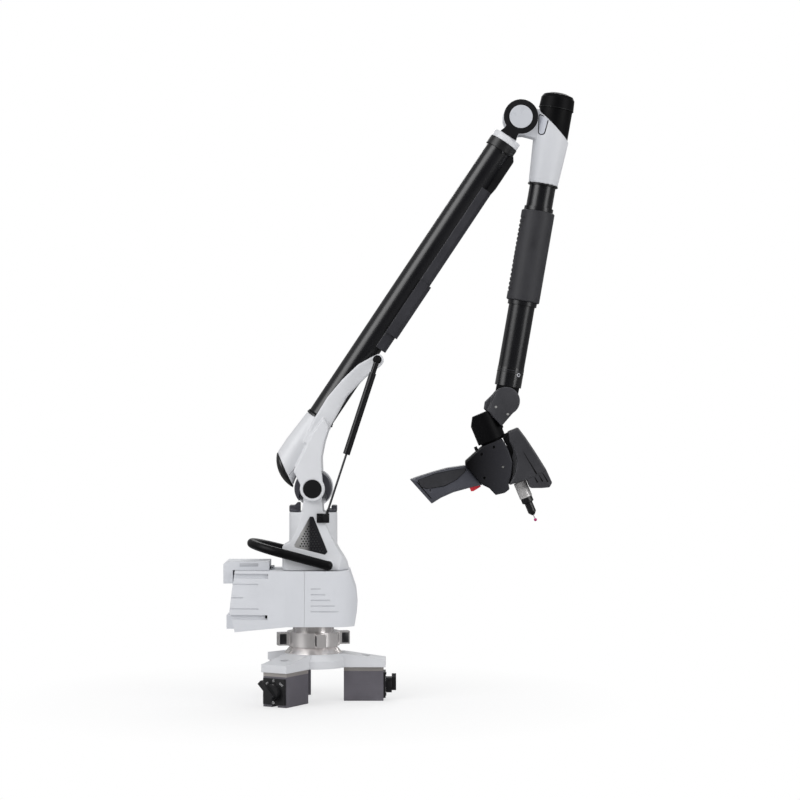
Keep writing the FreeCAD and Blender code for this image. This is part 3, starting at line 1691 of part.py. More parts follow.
def tube_clamp():
    """Band on the tube's upper end with the bracket that holds the guard."""
    band_end = tube_end + s.band_length - s.running_gap
    inner = s.tube_radius - s.tube_wall
    band = turned(
        "clamp_band",
        [
            (inner, tube_end),
            (s.band_radius, tube_end),
            (s.band_radius, band_end),
            (s.inner_tube_radius + s.running_gap, band_end),
            (s.inner_tube_radius + s.running_gap, band_end - 3),
            (inner, band_end - 3),
        ],
    )
    drop = s.guard_outer_drop
    foot = tube_end - s.bracket_length
    corners = [
        (s.tube_radius - 8, tube_end + 4),
        (s.band_radius + 1, tube_end + 4),
        (drop + 2, tube_end - 4),
        (drop + 2, foot + 14),
        (drop, foot),
        (s.tube_radius - 8, foot),
    ]
    half = s.bracket_half_width
    bracket = pad("clamp_bracket", corners, -half, half)
    seat = rod("clamp_seat", s.tube_radius + s.fit_gap, foot - 1, tube_end)
    bore = rod("clamp_bore", inner, tube_end - 1, tube_end + 6)
    node("tube_clamp", fuse("tube_clamp", band, cut("clamp_bracket_cut", bracket, seat, bore)), TUBE)


def guard_corners(grow):
    """Section of the guard channel, X towards the tube's lower side, grown outwards."""
    half = s.guard_half_width + grow
    outer = s.guard_outer_drop + grow
    return [
        (s.guard_inner_drop, -half),
        (outer - 7, -half),
        (outer, -half + 9),
        (outer, half - 9),
        (outer - 7, half),
        (s.guard_inner_drop, half),
    ]


def tube_guard():
    end = tube_end - s.bracket_length
    bar = pad("guard_bar", guard_corners(FLOOR), s.guard_start, end, "XY_Plane")
    seat = rod("guard_seat", s.tube_radius + s.fit_gap, s.guard_start - 1, end + 1)
    node("tube_guard", cut("tube_guard", bar, seat), TUBE)


def guard_bumper():
    """Rubber sleeve on the guard where the folded forearm would touch."""
    start = s.bumper_start
    end = start + s.bumper_length
    outer = pad("bumper_outer", guard_corners(s.bumper_thickness), start, end, "XY_Plane")
    inner = pad("bumper_inner", guard_corners(s.fit_gap), start - 1, end + 1, "XY_Plane")
    seat = rod("bumper_seat", s.tube_radius + s.fit_gap, start - 1, end + 1)
    node("guard_bumper", cut("guard_bumper", outer, inner, seat), TUBE)


def strut_upper_stud():
    """Stud on the horn's tip, through the strut's upper eye, with its washer head."""
    at = (s.horn_length, s.tube_offset - s.horn_drop)
    seat = -s.horn_half_width
    eye_face = -eye_inner + 0.3
    end = -eye_inner - s.strut_eye_thickness - 0.3
    base = rod("stud_base", s.stud_radius + 2.5, eye_face, seat, at, "Y")
    pin = rod("stud_pin", s.stud_radius, end, eye_face, at, "Y")
    head = rod("stud_head", s.stud_radius + 1.5, end - 1.5, end, at, "Y")
    node("strut_upper_stud", fuse("strut_upper_stud", base, pin, head), ARM)


def roll_bearings():
    inner = s.inner_tube_radius + s.fit_gap
    outer = s.tube_radius - s.tube_wall - s.fit_gap
    width = s.roll_bearing_width
    low = ring("roll_bearing_low", inner, outer, s.tube_start + 4, s.tube_start + 4 + width)
    high = ring("roll_bearing_high", inner, outer, tube_end - width - 4, tube_end - 4)
    node("roll_bearings", group("roll_bearings", low, high), TUBE)


def inner_tube():
    """Hollow shaft inside the upper tube that the elbow turns with."""
    outer = s.inner_tube_radius
    inner = outer - s.inner_tube_wall
    end = s.tube_reach - s.elbow_collar_place - s.elbow_collar_length
    node("inner_tube", ring("inner_tube", inner, outer, s.tube_start - 20, end), TUBE)


# ---------------------------------------------------------------- elbow fork


def elbow_collar():
    start = s.tube_reach - s.elbow_collar_place - s.elbow_collar_length
    end = start + s.elbow_collar_length
    bore = s.inner_tube_radius - s.inner_tube_wall
    profile = [
        (bore, start),
        (s.elbow_collar_radius, start),
        (s.elbow_collar_radius, end),
        (bore - 4, end),
        (bore - 4, end - 4),
        (bore, end - 4),
    ]
    node("elbow_collar", turned("elbow_collar", profile), TUBE)


cheek_inner = s.elbow_hub_half_width + s.running_gap + 0.1
cheek_outer = cheek_inner + s.cheek_thickness


def elbow_cheeks():
    """Two keyhole-shaped cheeks on the collar, one on each side of the elbow hub."""
    disc = rod("cheek_discs", s.cheek_radius, -cheek_outer, cheek_outer, (0, 0), "Y")
    half = s.cheek_neck_width / 2
    foot_half = s.cheek_foot_width / 2
    corners = [
        (-s.elbow_collar_place, -foot_half),
        (-s.elbow_collar_place * 0.8, -half),
        (0, -half),
        (0, half),
        (-s.elbow_collar_place * 0.8, half),
        (-s.elbow_collar_place, foot_half),
    ]
    neck = pad("cheek_necks", corners, -cheek_outer, cheek_outer)
    gap = box(
        "cheek_gap",
        (-s.elbow_collar_place - 1, s.cheek_radius + 1),
        (-cheek_inner, cheek_inner),
        (-s.cheek_radius - 1, s.cheek_radius + 1),
    )
    bore = rod("cheek_bore", s.elbow_axle_radius + s.fit_gap, -cheek_outer - 1, cheek_outer + 1, (0, 0), "Y")
    whole = cut("elbow_cheeks", fuse("cheek_whole", disc, neck), gap, bore)
    node("elbow_cheeks", whole, FORK)


def elbow_axle():
    axle = rod("elbow_axle_shaft", s.elbow_axle_radius, -cheek_outer, cheek_outer, (0, 0), "Y")
    node("elbow_axle", group("elbow_axle", axle), FORK)


# ---------------------------------------------------------------- elbow housing


def elbow_housing():
    """Casting with the elbow hub, the bridge and the barrel round the forearm's axis."""
    offset = s.elbow_offset
    half = s.elbow_hub_half_width
    radius = s.housing_radius
    barrel = turned(
        "housing_barrel",
        [
            (s.housing_bore, -s.housing_length),
            (s.housing_foot_radius, -s.housing_length),
            (radius, -s.housing_waist),
            (radius, s.housing_top - 4),
            (s.sleeve_radius - 2.5, s.housing_top),
            (s.sleeve_radius - 2.5, s.sleeve_top),
            (s.housing_bore, s.sleeve_top),
        ],
    )
    barrel.Placement = frame_at(offset, 0, 0)
    hub = rod("housing_hub", s.elbow_hub_radius, -half, half, (0, 0), "Y")
    bridge_corners = [
        (0, -s.elbow_hub_radius),
        (offset - 8, -s.elbow_hub_radius - 4),
        (offset - 8, s.housing_top),
        (s.elbow_hub_radius * 0.8, s.housing_top),
        (0, s.elbow_hub_radius * 0.9),
    ]
    bridge = pad("housing_bridge", bridge_corners, -half, half)
    bore = rod("housing_bore_clear", s.housing_bore, -s.housing_length - 1, s.sleeve_top + 1, (offset, 0))
    cone = rod("housing_hub_bore", s.elbow_axle_radius + 3, -half - 1, half + 1, (0, 0), "Y")
    seats = []
    for side, low, high in (
        ("front", -half - 1, -half + s.elbow_bearing_width),
        ("rear", half - s.elbow_bearing_width, half + 1),
    ):
        seats.append(rod(f"housing_seat_{side}", s.elbow_bearing_radius + s.fit_gap, low, high, (0, 0), "Y"))
    whole = fuse("housing_whole", barrel, hub, bridge)
    blank = sleeve_blank("housing_sleeve_cut", s.fit_gap)
    space = common("housing_sleeve_space", blank, slant_box("housing_slant"))
    node("elbow_housing", cut("elbow_housing", whole, bore, cone, space, *seats), ELBOW)


def sleeve_blank(name, grow):
    """Ring that the black sleeve is cut from, in the elbow frame."""
    inner = s.sleeve_radius - 2.5
    blank = ring(name, inner, s.housing_radius + 2 + grow, -s.housing_waist - 8, s.sleeve_top)
    blank.Placement = frame_at(s.elbow_offset, 0, 0)
    return blank


def slant_box(name):
    """Everything above the slanting edge between the sleeve and the casting."""
    reach = 2 * s.housing_radius
    blank = box(f"{name}_blank", (-reach, reach), (-reach, reach), (FLOOR, 2 * reach))
    slanted = group(name, blank)
    rise = number_of(s.housing_top)
    drop = number_of(s.housing_waist)
    slope = math.degrees(math.atan2(rise + drop, 2 * number_of(s.housing_radius)))
    middle = (rise - drop) / 2
    slanted.Placement = frame_at(s.elbow_offset, middle, slope)
    return slanted


def elbow_covers():
    """Black sleeve round the housing's top and the cap that closes it."""
    inner = s.sleeve_radius - 2.5 + s.fit_gap
    blank = ring("sleeve_ring", inner, s.sleeve_radius, -s.housing_waist - 8, s.sleeve_top)
    blank.Placement = frame_at(s.elbow_offset, 0, 0)
    sleeve = common("elbow_sleeve", blank, slant_box("sleeve_slant"))
    side_top = s.sleeve_top + s.elbow_cap_side
    crown = s.sleeve_top + s.elbow_cap_crown
    cap = turned(
        "elbow_cap",
        [
            (0, s.sleeve_top),
            (s.elbow_cap_radius, s.sleeve_top),
            (s.elbow_cap_radius - 1.2, side_top),
            (s.elbow_cap_radius - 5, side_top + 6),
            (s.elbow_cap_radius * 0.5, crown - 1),
            (0, crown),
        ],
    )
    cap.Placement = frame_at(s.elbow_offset, 0, 0)
    node("elbow_covers", group("elbow_covers", sleeve, cap), ELBOW)


def elbow_bearings():
    """Two bearings on the elbow axle and two round the forearm's shaft."""
    half = s.elbow_hub_half_width
    pieces = []
    for side, low, high in (
        ("front", -half, -half + s.elbow_bearing_width),
        ("rear", half - s.elbow_bearing_width, half),
    ):
        outer = rod(f"elbow_bearing_{side}", s.elbow_bearing_radius, low, high, (0, 0), "Y")
        bore = s.elbow_axle_radius + s.fit_gap
        hole = rod(f"elbow_bearing_hole_{side}", bore, low - 1, high + 1, (0, 0), "Y")
        pieces.append(cut(f"elbow_bearing_cut_{side}", outer, hole))
    inner = s.forearm_shaft_radius + s.fit_gap
    outer = s.housing_bore - s.fit_gap
    for place_name, foot in (("low", -s.housing_length + 6), ("high", s.sleeve_top - 20)):
        bearing = ring(f"forearm_bearing_{place_name}", inner, outer, foot, foot + s.roll_bearing_width)
        bearing.Placement = frame_at(s.elbow_offset, 0, 0)
        pieces.append(bearing)
    node("elbow_bearings", group("elbow_bearings", *pieces), ELBOW)


# ---------------------------------------------------------------- forearm


def forearm_tube():
    """Forearm tube with its lip under the housing, the two grip collars and its upper shaft."""
    lip_top = -s.housing_length - s.running_gap
    outer = s.forearm_radius
    inner = outer - s.forearm_wall
    collar = s.grip_collar_radius
    high_foot = -s.grip_place + s.grip_gap
    low_top = -s.grip_place - s.grip_length - s.grip_gap
    shaft = s.forearm_shaft_radius
    bore = s.forearm_shaft_bore
    lip = s.housing_foot_radius - 0.4
    profile = [
        (bore, s.sleeve_top - 4),
        (shaft, s.sleeve_top - 4),
        (shaft, lip_top),
        (lip, lip_top),
        (lip, lip_top - 2.5),
        (outer, lip_top - 2.5),
        (outer, high_foot + s.grip_collar_length),
        (collar, high_foot + s.grip_collar_length),
        (collar, high_foot),
        (outer, high_foot),
        (outer, low_top),
        (collar, low_top),
        (collar, low_top - s.grip_collar_length),
        (outer, low_top - s.grip_collar_length),
        (outer, -s.forearm_tube_end),
        (inner, -s.forearm_tube_end),
        (inner, lip_top - 12),
        (bore, lip_top - 16),
    ]
    node("forearm_tube", turned("forearm_tube", profile), FOREARM)


def forearm_grip():
    """Rubber grip that spins on the forearm, with short ribs pressed into one side."""
    top = -s.grip_place
    foot = top - s.grip_length
    radius = s.grip_radius
    sleeve = turned(
        "grip_sleeve",
        [
            (s.forearm_radius + s.grip_gap, foot),
            (radius - 1.5, foot),
            (radius, foot + 1.5),
            (radius, top - 1.5),
            (radius - 1.5, top),
            (s.forearm_radius + s.grip_gap, top),
        ],
    )
    grooves = []
    count = SIZES["grip_rib_count"]
    pitch = (s.grip_length - 34) / (count - 1)
    for k in range(count):
        middle = foot + 17 + pitch * k
        spread = abs(k - (count - 1) / 2) / ((count - 1) / 2)
        half = 7 + 13 * spread ** 1.5
        groove = box(
            f"grip_groove_{k}",
            (-radius - 1, -radius + s.grip_rib_depth + half * half / 62),
            (FLOOR - half, FLOOR + half),
            (middle - s.grip_rib_width / 2, middle + s.grip_rib_width / 2),
        )
        skin = ring(
            f"grip_skin_{k}",
            radius - s.grip_rib_depth,
            radius + 2,
            middle - s.grip_rib_width,
            middle + s.grip_rib_width,
        )
        grooves.append(common(f"grip_cut_{k}", groove, skin))
    node("forearm_grip", cut("forearm_grip", sleeve, *grooves), FOREARM)


def wrist_socket():
    """End of the forearm: a sleeve on the tube and the tongue on the wrist axle."""
    reach = s.forearm_reach
    start = -s.forearm_tube_end
    end = -s.socket_end
    sleeve = turned("socket_sleeve", [(0, end), (s.socket_radius, end), (s.socket_radius, start), (0, start)])
    plug_radius = s.forearm_radius - s.forearm_wall - s.fit_gap
    plug = rod("socket_plug", plug_radius, start, start + s.socket_plug_length)
    half = s.tongue_half_width
    radius = s.tongue_radius
    tongue = box("tongue_neck", (-radius, radius), (-half, half), (-reach, end))
    disc = rod("tongue_disc", radius, -half, half, (0, -reach), "Y")
    bore = rod("tongue_bore", s.wrist_axle_radius + s.fit_gap, -half - 1, half + 1, (0, -reach), "Y")
    hollow = rod("socket_hollow", s.wire_bore, end + 6, start + s.socket_plug_length + 1)
    whole = cut("wrist_socket", fuse("socket_whole", sleeve, plug, tongue, disc), bore, hollow)
    node("wrist_socket", whole, FOREARM)


# ---------------------------------------------------------------- wrist

wrist_inner = s.tongue_half_width + s.wrist_cheek_gap
block_axis = -s.wrist_offset


def paddle_corners():
    """Side view of the flat outer plate of a cheek, below its round end."""
    radius = s.wrist_cheek_radius
    return [
        (-radius * 0.35, radius * 0.9),
        (-1.44 * radius, -0.17 * radius),
        (-0.97 * radius, -1.54 * radius),
        (radius * 0.72, -radius * 0.7),
        (radius * 0.3, radius * 0.3),
    ]


def flank_corners():
    """Side view of the fuller part of a cheek behind its outer plate."""
    radius = s.wrist_cheek_radius
    return [
        (-radius * 0.52, radius * 0.84),
        (-1.36 * radius, radius * 0.5),
        (-1.62 * radius, 0.06 * radius),
        (-0.97 * radius, -1.54 * radius),
        (radius * 0.72, -radius * 0.7),
        (radius * 0.3, radius * 0.3),
    ]


def wrist_cheeks():
    """Two paddle-shaped cheeks on the wrist axle, screwed to the wrist block."""
    radius = s.wrist_cheek_radius
    half = s.wrist_half_width
    flank_half = half - s.paddle_thickness
    plate = pad("paddle_plate", paddle_corners(), -half, half)
    flank = pad("paddle_flank", flank_corners(), -flank_half, flank_half)
    disc = rod("paddle_disc", radius, -half, half, (0, 0), "Y")
    gap = box(
        "paddle_gap",
        (-3 * radius, 3 * radius),
        (-wrist_inner, wrist_inner),
        (-3 * radius, 3 * radius),
    )
    bore = rod("paddle_bore", s.wrist_axle_radius + s.fit_gap, -half - 1, half + 1, (0, 0), "Y")
    node("wrist_cheeks", cut("wrist_cheeks", fuse("paddle_whole", plate, flank, disc), gap, bore), WRIST)


def wrist_block():
    """Block under the wrist axle that holds the bearing of the head's spindle."""
    radius = s.wrist_block_radius
    top = -s.wrist_block_top
    foot = -s.wrist_block_foot
    room_half = s.wrist_half_width + s.running_gap
    barrel = rod("block_barrel", radius, foot, top, (block_axis, 0))
    chamfer = slanted_cutter("block_chamfer")
    half = wrist_inner - s.fit_gap
    web_foot = foot + s.head_bearing_width + 2
    web = box("block_web", (block_axis, -s.tongue_radius - 1), (-half, half), (web_foot, top))
    seat_radius = s.head_bearing_radius + s.fit_gap
    seat = rod("block_bearing_seat", seat_radius, foot - 1, foot + s.head_bearing_width, (block_axis, 0))
    bore_radius = s.head_spindle_radius + s.running_gap
    bore = rod("block_spindle_bore", bore_radius, foot + 1, s.running_gap - s.spindle_top, (block_axis, 0))
    room_radius = s.tongue_radius + s.wrist_cheek_gap
    tongue_room = rod("block_tongue_room", room_radius, -half - 1, half + 1, (0, 0), "Y")
    flank_room = pad("block_flank_room", cheek_room(flank_corners()), -s.wrist_half_width, s.wrist_half_width)
    plate_room = pad("block_plate_room", cheek_room(paddle_corners()), -radius - 1, radius + 1)
    middle = box("block_middle", (-4 * radius, 4 * radius), (-half, half), (-4 * radius, 4 * radius))
    shoulders = box(
        "block_shoulders",
        (-4 * radius, 4 * radius),
        (-room_half + s.paddle_thickness, room_half - s.paddle_thickness),
        (-4 * radius, 4 * radius),
    )
    inner_room = cut("block_inner_room", common("block_flank_inner", flank_room, shoulders), middle)
    outer_room = cut("block_outer_room", plate_room, middle)
    body = fuse("block_whole", barrel, web)
    whole = cut("block_casting", body, chamfer, seat, bore, tongue_room, inner_room, outer_room)
    node("wrist_block", group("wrist_block", whole, head_bearing()), WRIST)


def cheek_room(corners):
    """Where a part of the cheeks lies against the block: its outline, opened out past the axle."""
    radius = s.wrist_cheek_radius
    return corners[:-1] + [(radius, radius)]


def slanted_cutter(name):
    """Removes the block's upper outer corner."""
    top = -s.wrist_block_top
    left = block_axis - s.wrist_block_radius
    cut_width = s.block_cut_width
    cut_depth = s.block_cut_depth
    corners = [
        (left - 2, top + 2),
        (left + cut_width + 4, top + 2),
        (left + cut_width, top),
        (left, top - cut_depth),
        (left - 2, top - cut_depth - 2),
    ]
    half = s.wrist_block_radius + 1
    return pad(name, corners, -half, half)


def wrist_axle():
    half = s.wrist_half_width
    axle = rod("wrist_axle_shaft", s.wrist_axle_radius, -half, half, (0, 0), "Y")
    node("wrist_axle", group("wrist_axle", axle), WRIST)


# ---------------------------------------------------------------- head

head_top = -s.wrist_block_foot - s.head_gap


def head_outline(wall):
    """Side view of the head shells, drawn in by a wall."""
    right = s.head_right - wall
    foot = -s.head_foot + wall
    left = -s.head_left + wall
    return [
        (-s.button_place + 10 + wall, head_top - wall),
        (right - 3, head_top - wall),
        (right, -s.head_belly),
        (right - 2, -s.head_chin),
        (s.head_right - 13.5 - wall, -s.head_jaw),
        (s.head_right - 24 - wall, -s.head_throat),
        (s.head_right - 26 - wall, foot + 3),
        (s.head_right - 37, foot),
        (left + 30, foot + 3),
        (left + 24, foot + 19),
        (left + s.grip_root_inset, -s.grip_root_foot + wall),
        (left, -s.grip_root_top - 0.3 * wall),
        (left + 3, 7 - s.grip_root_top - 0.6 * wall),
        (-s.head_shoulder + wall, head_top - 7 - wall),
    ]


def head_shells():
    """Front and rear halves of the head, joined at the arm's plane."""
    half = s.head_half_width
    wall = s.head_wall
    outer = pad("head_outer", head_outline(FLOOR), -half, half)
    soft = rounded("head_soft", outer, s.head_round, lambda edge: edge_at_face(edge, number_of(half)))
    inner = pad("head_inner", head_outline(wall), -half + wall, half - wall)
    spindle = rod("head_spindle_bore", s.head_spindle_radius + s.fit_gap, head_top - 4 * wall, head_top + 1)
    button_hole = s.button_radius + s.running_gap
    button_foot = -s.button_top - s.button_length - 4 * wall
    button = rod("head_button_bore", button_hole, button_foot, -s.button_top, (-s.button_place, 0))
    shell = cut("head_shell", soft, inner, spindle, button)
    seam = s.fit_gap
    reach = s.head_foot + s.head_left
    front_room = box("head_front_room", (-reach, reach), (-half - 1, -seam), (-reach, FLOOR))
    rear_room = box("head_rear_room", (-reach, reach), (seam, half + 1), (-reach, FLOOR))
    front = common("head_front", shell, front_room)
    rear = common("head_rear", shell, rear_room)
    node("head_shells", group("head_shells", front, rear), HEAD)


def edge_at_face(edge, half):
    """True for an edge that lies in one of the two outer faces."""
    box_of_edge = edge.BoundBox
    flat = box_of_edge.YLength < 1e-3
    return flat and abs(abs(box_of_edge.YMin) - half) < 1e-3


def head_spindle():
    """Spindle of the head's roll joint, from its bearing in the wrist block into the head."""
    radius = s.head_spindle_radius
    foot = head_top - s.head_wall - 10
    bore = radius / 3
    shaft = turned(
        "spindle_shaft",
        [
            (bore, foot),
            (radius + 1.2, foot),
            (radius + 1.2, foot + 4),
            (radius, foot + 4),
            (radius, head_top),
            (s.head_collar_radius, head_top),
            (s.head_collar_radius, head_top + s.head_gap - 2 * s.running_gap),
            (radius, head_top + s.head_gap - 2 * s.running_gap),
            (radius, -s.spindle_top - 1.7),
            (bore, -s.spindle_top - 1.7),
        ],
    )
    node("head_spindle", shaft, HEAD)


def head_bearing():
    inner = s.head_spindle_radius + s.fit_gap
    foot = -s.wrist_block_foot
    bearing = ring("head_bearing", inner, s.head_bearing_radius, foot, foot + s.head_bearing_width)
    bearing.Placement = frame_at(-s.wrist_offset, 0, 0)
    return bearing


def pistol_grip():
    """Grip with the trigger's slot."""
    half = s.grip_half_width
    end = -s.grip_reach
    left = -s.head_left
    top = -s.grip_top
    foot = -s.grip_foot
    length = s.grip_reach - s.head_left
    bow = length * 0.04
    corners = [
        (left, -s.grip_root_top),
        (end + length * 0.686, top - 1.55 * bow),
        (end + length * 0.41, top - 0.7 * bow),
        (end + length * 0.133, top - 0.12 * bow),
        (end, top),
        (end + length * 0.19, foot),
        (end + length * 0.38, foot + 0.83 * bow),
        (end + length * 0.62, foot + 0.95 * bow),
        (end + length * 0.924, foot),
        (left + s.grip_root_inset, -s.grip_root_foot),
    ]
    body = pad("grip_body", corners, -half, half)
    soft = rounded("grip_soft", body, s.grip_round, lambda edge: edge_at_face(edge, number_of(half)))
    gap = s.trigger_gap
    slot_half = s.trigger_width / 2 + gap
    slot_foot = -s.trigger_root - 0.7 * s.trigger_slot_depth
    slot = box(
        "grip_trigger_slot",
        (-s.trigger_place - gap, -s.trigger_place + s.trigger_length + gap),
        (-slot_half, slot_half),
        (slot_foot, slot_foot + s.trigger_slot_depth),
    )
    node("pistol_grip", cut("pistol_grip", soft, slot), HEAD)


def grip_pads():
    """Rubber inserts on both sides of the grip."""
    half = s.grip_half_width
    reach = -s.grip_reach
    top = -s.grip_top
    length = s.grip_reach - s.head_left
    height = s.grip_foot - s.grip_top
    corners = [
        (reach + length * 0.133, top - height * 0.123),
        (reach + length * 0.133, top - height * 0.35),
        (reach + length * 0.21, top - height * 0.474),
        (reach + length * 0.343, top - height * 0.544),
        (reach + length * 0.524, top - height * 0.614),
        (reach + length * 0.752, top - height * 0.58),
        (reach + length * 0.933, top - height * 0.456),
        (reach + length * 0.98, top - height * 0.36),
        (reach + length * 0.762, top - height * 0.26),
        (reach + length * 0.457, top - height * 0.15),
    ]
    pads = [
        pad("grip_pad_front", corners, -half - s.pad_thickness, -half),
        pad("grip_pad_rear", corners, half, half + s.pad_thickness),
    ]
    node("grip_pads", group("grip_pads", *pads), HEAD)


def trigger():
    half = s.trigger_width / 2
    near = -s.trigger_place
    far = near + s.trigger_length
    root = -s.trigger_root
    corners = [
        (near, root),
        (near, root - s.trigger_height),
        (near + 4, root - s.trigger_height - 1.5),
        (far, root - s.trigger_height + 1),
        (far, root),
    ]
    node("trigger", pad("trigger", corners, -half, half), HEAD)


def head_button():
    top = -s.button_top
    stem = rod("button_stem", s.button_radius, top - s.button_length, top, (-s.button_place, 0))
    node("head_button", group("head_button", stem), HEAD)


def scanner_outline(wall, groove):
    """Side view of the scanner, drawn in by a wall, its side to the head held back by a groove."""
    reach = s.scanner_reach
    foot = -s.scanner_foot
    top = -s.scanner_top
    left = s.head_right + s.scanner_gap + wall
    return [
        (left + 12.5, top - wall),
        (reach - 19 - wall, top - wall),
        (reach - 13 - wall, top - 23),
        (reach - 7 - wall, top - 54),
        (reach - 1 - wall, top - 90),
        (reach - wall, foot + 6),
        (reach - 8 - wall, foot + wall),
        (reach - s.window_bend, foot + 4 + wall),
        (reach - s.window_left - 2.5 + wall, foot + 12 + wall),
        (reach - s.window_left - 3 + wall, foot + 30 + wall),
        (left - 23.5, foot + 32 + wall),
        (left - 23.5 + groove * 0.2, -s.head_throat),
        (left - 13 + groove * 0.75, -s.head_jaw),
        (left - 2 + groove, -s.head_chin),
        (left + groove, -s.head_belly),
        (left + groove * 0.8, 13 - s.head_belly),
    ]


def scanner_outside(edge):
    """True for the face edges on the side away from the head."""
    outside = edge.BoundBox.XMin > SIZES["scanner_reach"] - SIZES["window_left"] - 4
    return outside and edge_at_face(edge, SIZES["scanner_half_width"])


def scanner_body():
    """Laser scanner beside the head, grooved along it and open at its underside for the window."""
    half = s.scanner_half_width
    core_half = s.scanner_core_half_width
    wall = s.scanner_wall
    outer = pad("scanner_outer", scanner_outline(FLOOR, s.scanner_groove), -half, half)
    soft = rounded("scanner_soft", outer, s.scanner_round, scanner_outside)
    core = pad("scanner_core", scanner_outline(FLOOR, FLOOR), -core_half, core_half)
    inner = pad("scanner_inner", scanner_outline(wall, s.scanner_groove), -half + wall, half - wall)
    core_inner = pad("scanner_core_inner", scanner_outline(wall, FLOOR), -core_half + wall, core_half - wall)
    reach = s.scanner_reach
    opening = box(
        "scanner_opening",
        (reach - s.window_left, reach - s.window_right),
        (-half + s.window_margin, half - s.window_margin),
        (-s.scanner_foot - 5, -s.scanner_foot + 16),
    )
    whole = fuse("scanner_whole", soft, core)
    node("scanner_body", cut("scanner_body", whole, inner, core_inner, opening), HEAD)


def scanner_window():
    """Glass across the scanner's opening."""
    half = s.scanner_half_width - s.window_margin - s.fit_gap
    reach = s.scanner_reach
    foot = -s.scanner_foot
    right = reach - s.window_right - s.fit_gap
    left = reach - s.window_left + s.fit_gap
    inside = [(right, foot + 2.2), (reach - s.window_bend, foot + 4.4), (left, foot + 11.2)]
    outside = [(x, z + s.window_thickness) for x, z in reversed(inside)]
    node("scanner_window", pad("scanner_window", inside + outside, -half, half), HEAD)


def probe_adapter():
    """Silver quick-change adapter under the head."""
    sleeve = ring("adapter_sleeve", 3, s.adapter_radius, -s.adapter_foot, -s.adapter_top)
    sleeve.Placement = frame_at(s.probe_place, 0, 0)
    node("probe_adapter", group("probe_adapter", sleeve), HEAD)


def stylus():
    """Black shank, thin stem and ruby ball of the probe."""
    top = -s.adapter_foot
    step = top - s.holder_length
    cone = step - s.shank_length
    tip = cone - s.shank_cone
    shank = turned(
        "stylus_shank",
        [
            (0, tip),
            (s.stem_radius + 1.5, tip),
            (s.shank_radius, cone),
            (s.shank_radius, step),
            (s.holder_radius, step + 2),
            (s.holder_radius, top),
            (0, top),
        ],
    )
    stem_foot = tip - s.stem_length
    stem = rod("stylus_stem", s.stem_radius, stem_foot, tip)
    tip_ball = ball("stylus_ball", s.ball_radius, (0, 0, stem_foot - s.ball_radius * 0.8))
    rest = fuse("stylus_shaft", stem, tip_ball)
    both = group("stylus", shank, rest)
    both.Placement = frame_at(s.probe_place, 0, 0)
    node("stylus", both, HEAD)


for make in (
    mount_plate,
    magnet_feet,
    magnet_switches,
    mount_flange,
    base_post,
    locking_ring,
    base_chassis,
    swivel_bearings,
    base_cover_right,
    base_cover_tail,
    circuit_board,
    battery_pack,
    battery_latch,
    swivel_shaft,
    turret_casting,
    turret_grilles,
    turret_shroud,
    carry_handle,
    shoulder_bearings,
    strut_lower_bracket,
    strut_cylinder,
    strut_rod,
    shoulder_yoke,
    yoke_end_cap,
    shoulder_axle,
    shoulder_caps,
    upper_tube,
    tube_clamp,
    tube_guard,
    guard_bumper,
    strut_upper_stud,
    roll_bearings,
    inner_tube,
    elbow_collar,
    elbow_cheeks,
    elbow_axle,
    elbow_housing,
    elbow_covers,
    elbow_bearings,
    forearm_tube,
    forearm_grip,
    wrist_socket,
    wrist_cheeks,
    wrist_block,
    wrist_axle,
    head_shells,
    head_spindle,
    pistol_grip,
    grip_pads,
    trigger,
    head_button,
    scanner_body,
    scanner_window,
    probe_adapter,
    stylus,
):
    make()

doc.recompute()

faults = []
for thing in doc.Objects:
    if "Invalid" in thing.State or "Error" in thing.State:
        faults.append(f"{thing.Name} is {thing.State}")
for label, thing in NODES.items():
    shape = thing.Shape
    if shape.isNull() or not shape.isValid() or not shape.Solids:
        faults.append(f"{label} has no valid solid")
if faults:
    raise RuntimeError("; ".join(faults))

os.makedirs("parts", exist_ok=True)
for label, thing in NODES.items():
    thing.Shape.exportStep(f"parts/{label}.step")
print(len(NODES), "sub-parts written")
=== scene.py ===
import json
import math

import bmesh
import bpy
from mathutils import Matrix, Vector
from mathutils.bvhtree import BVHTree


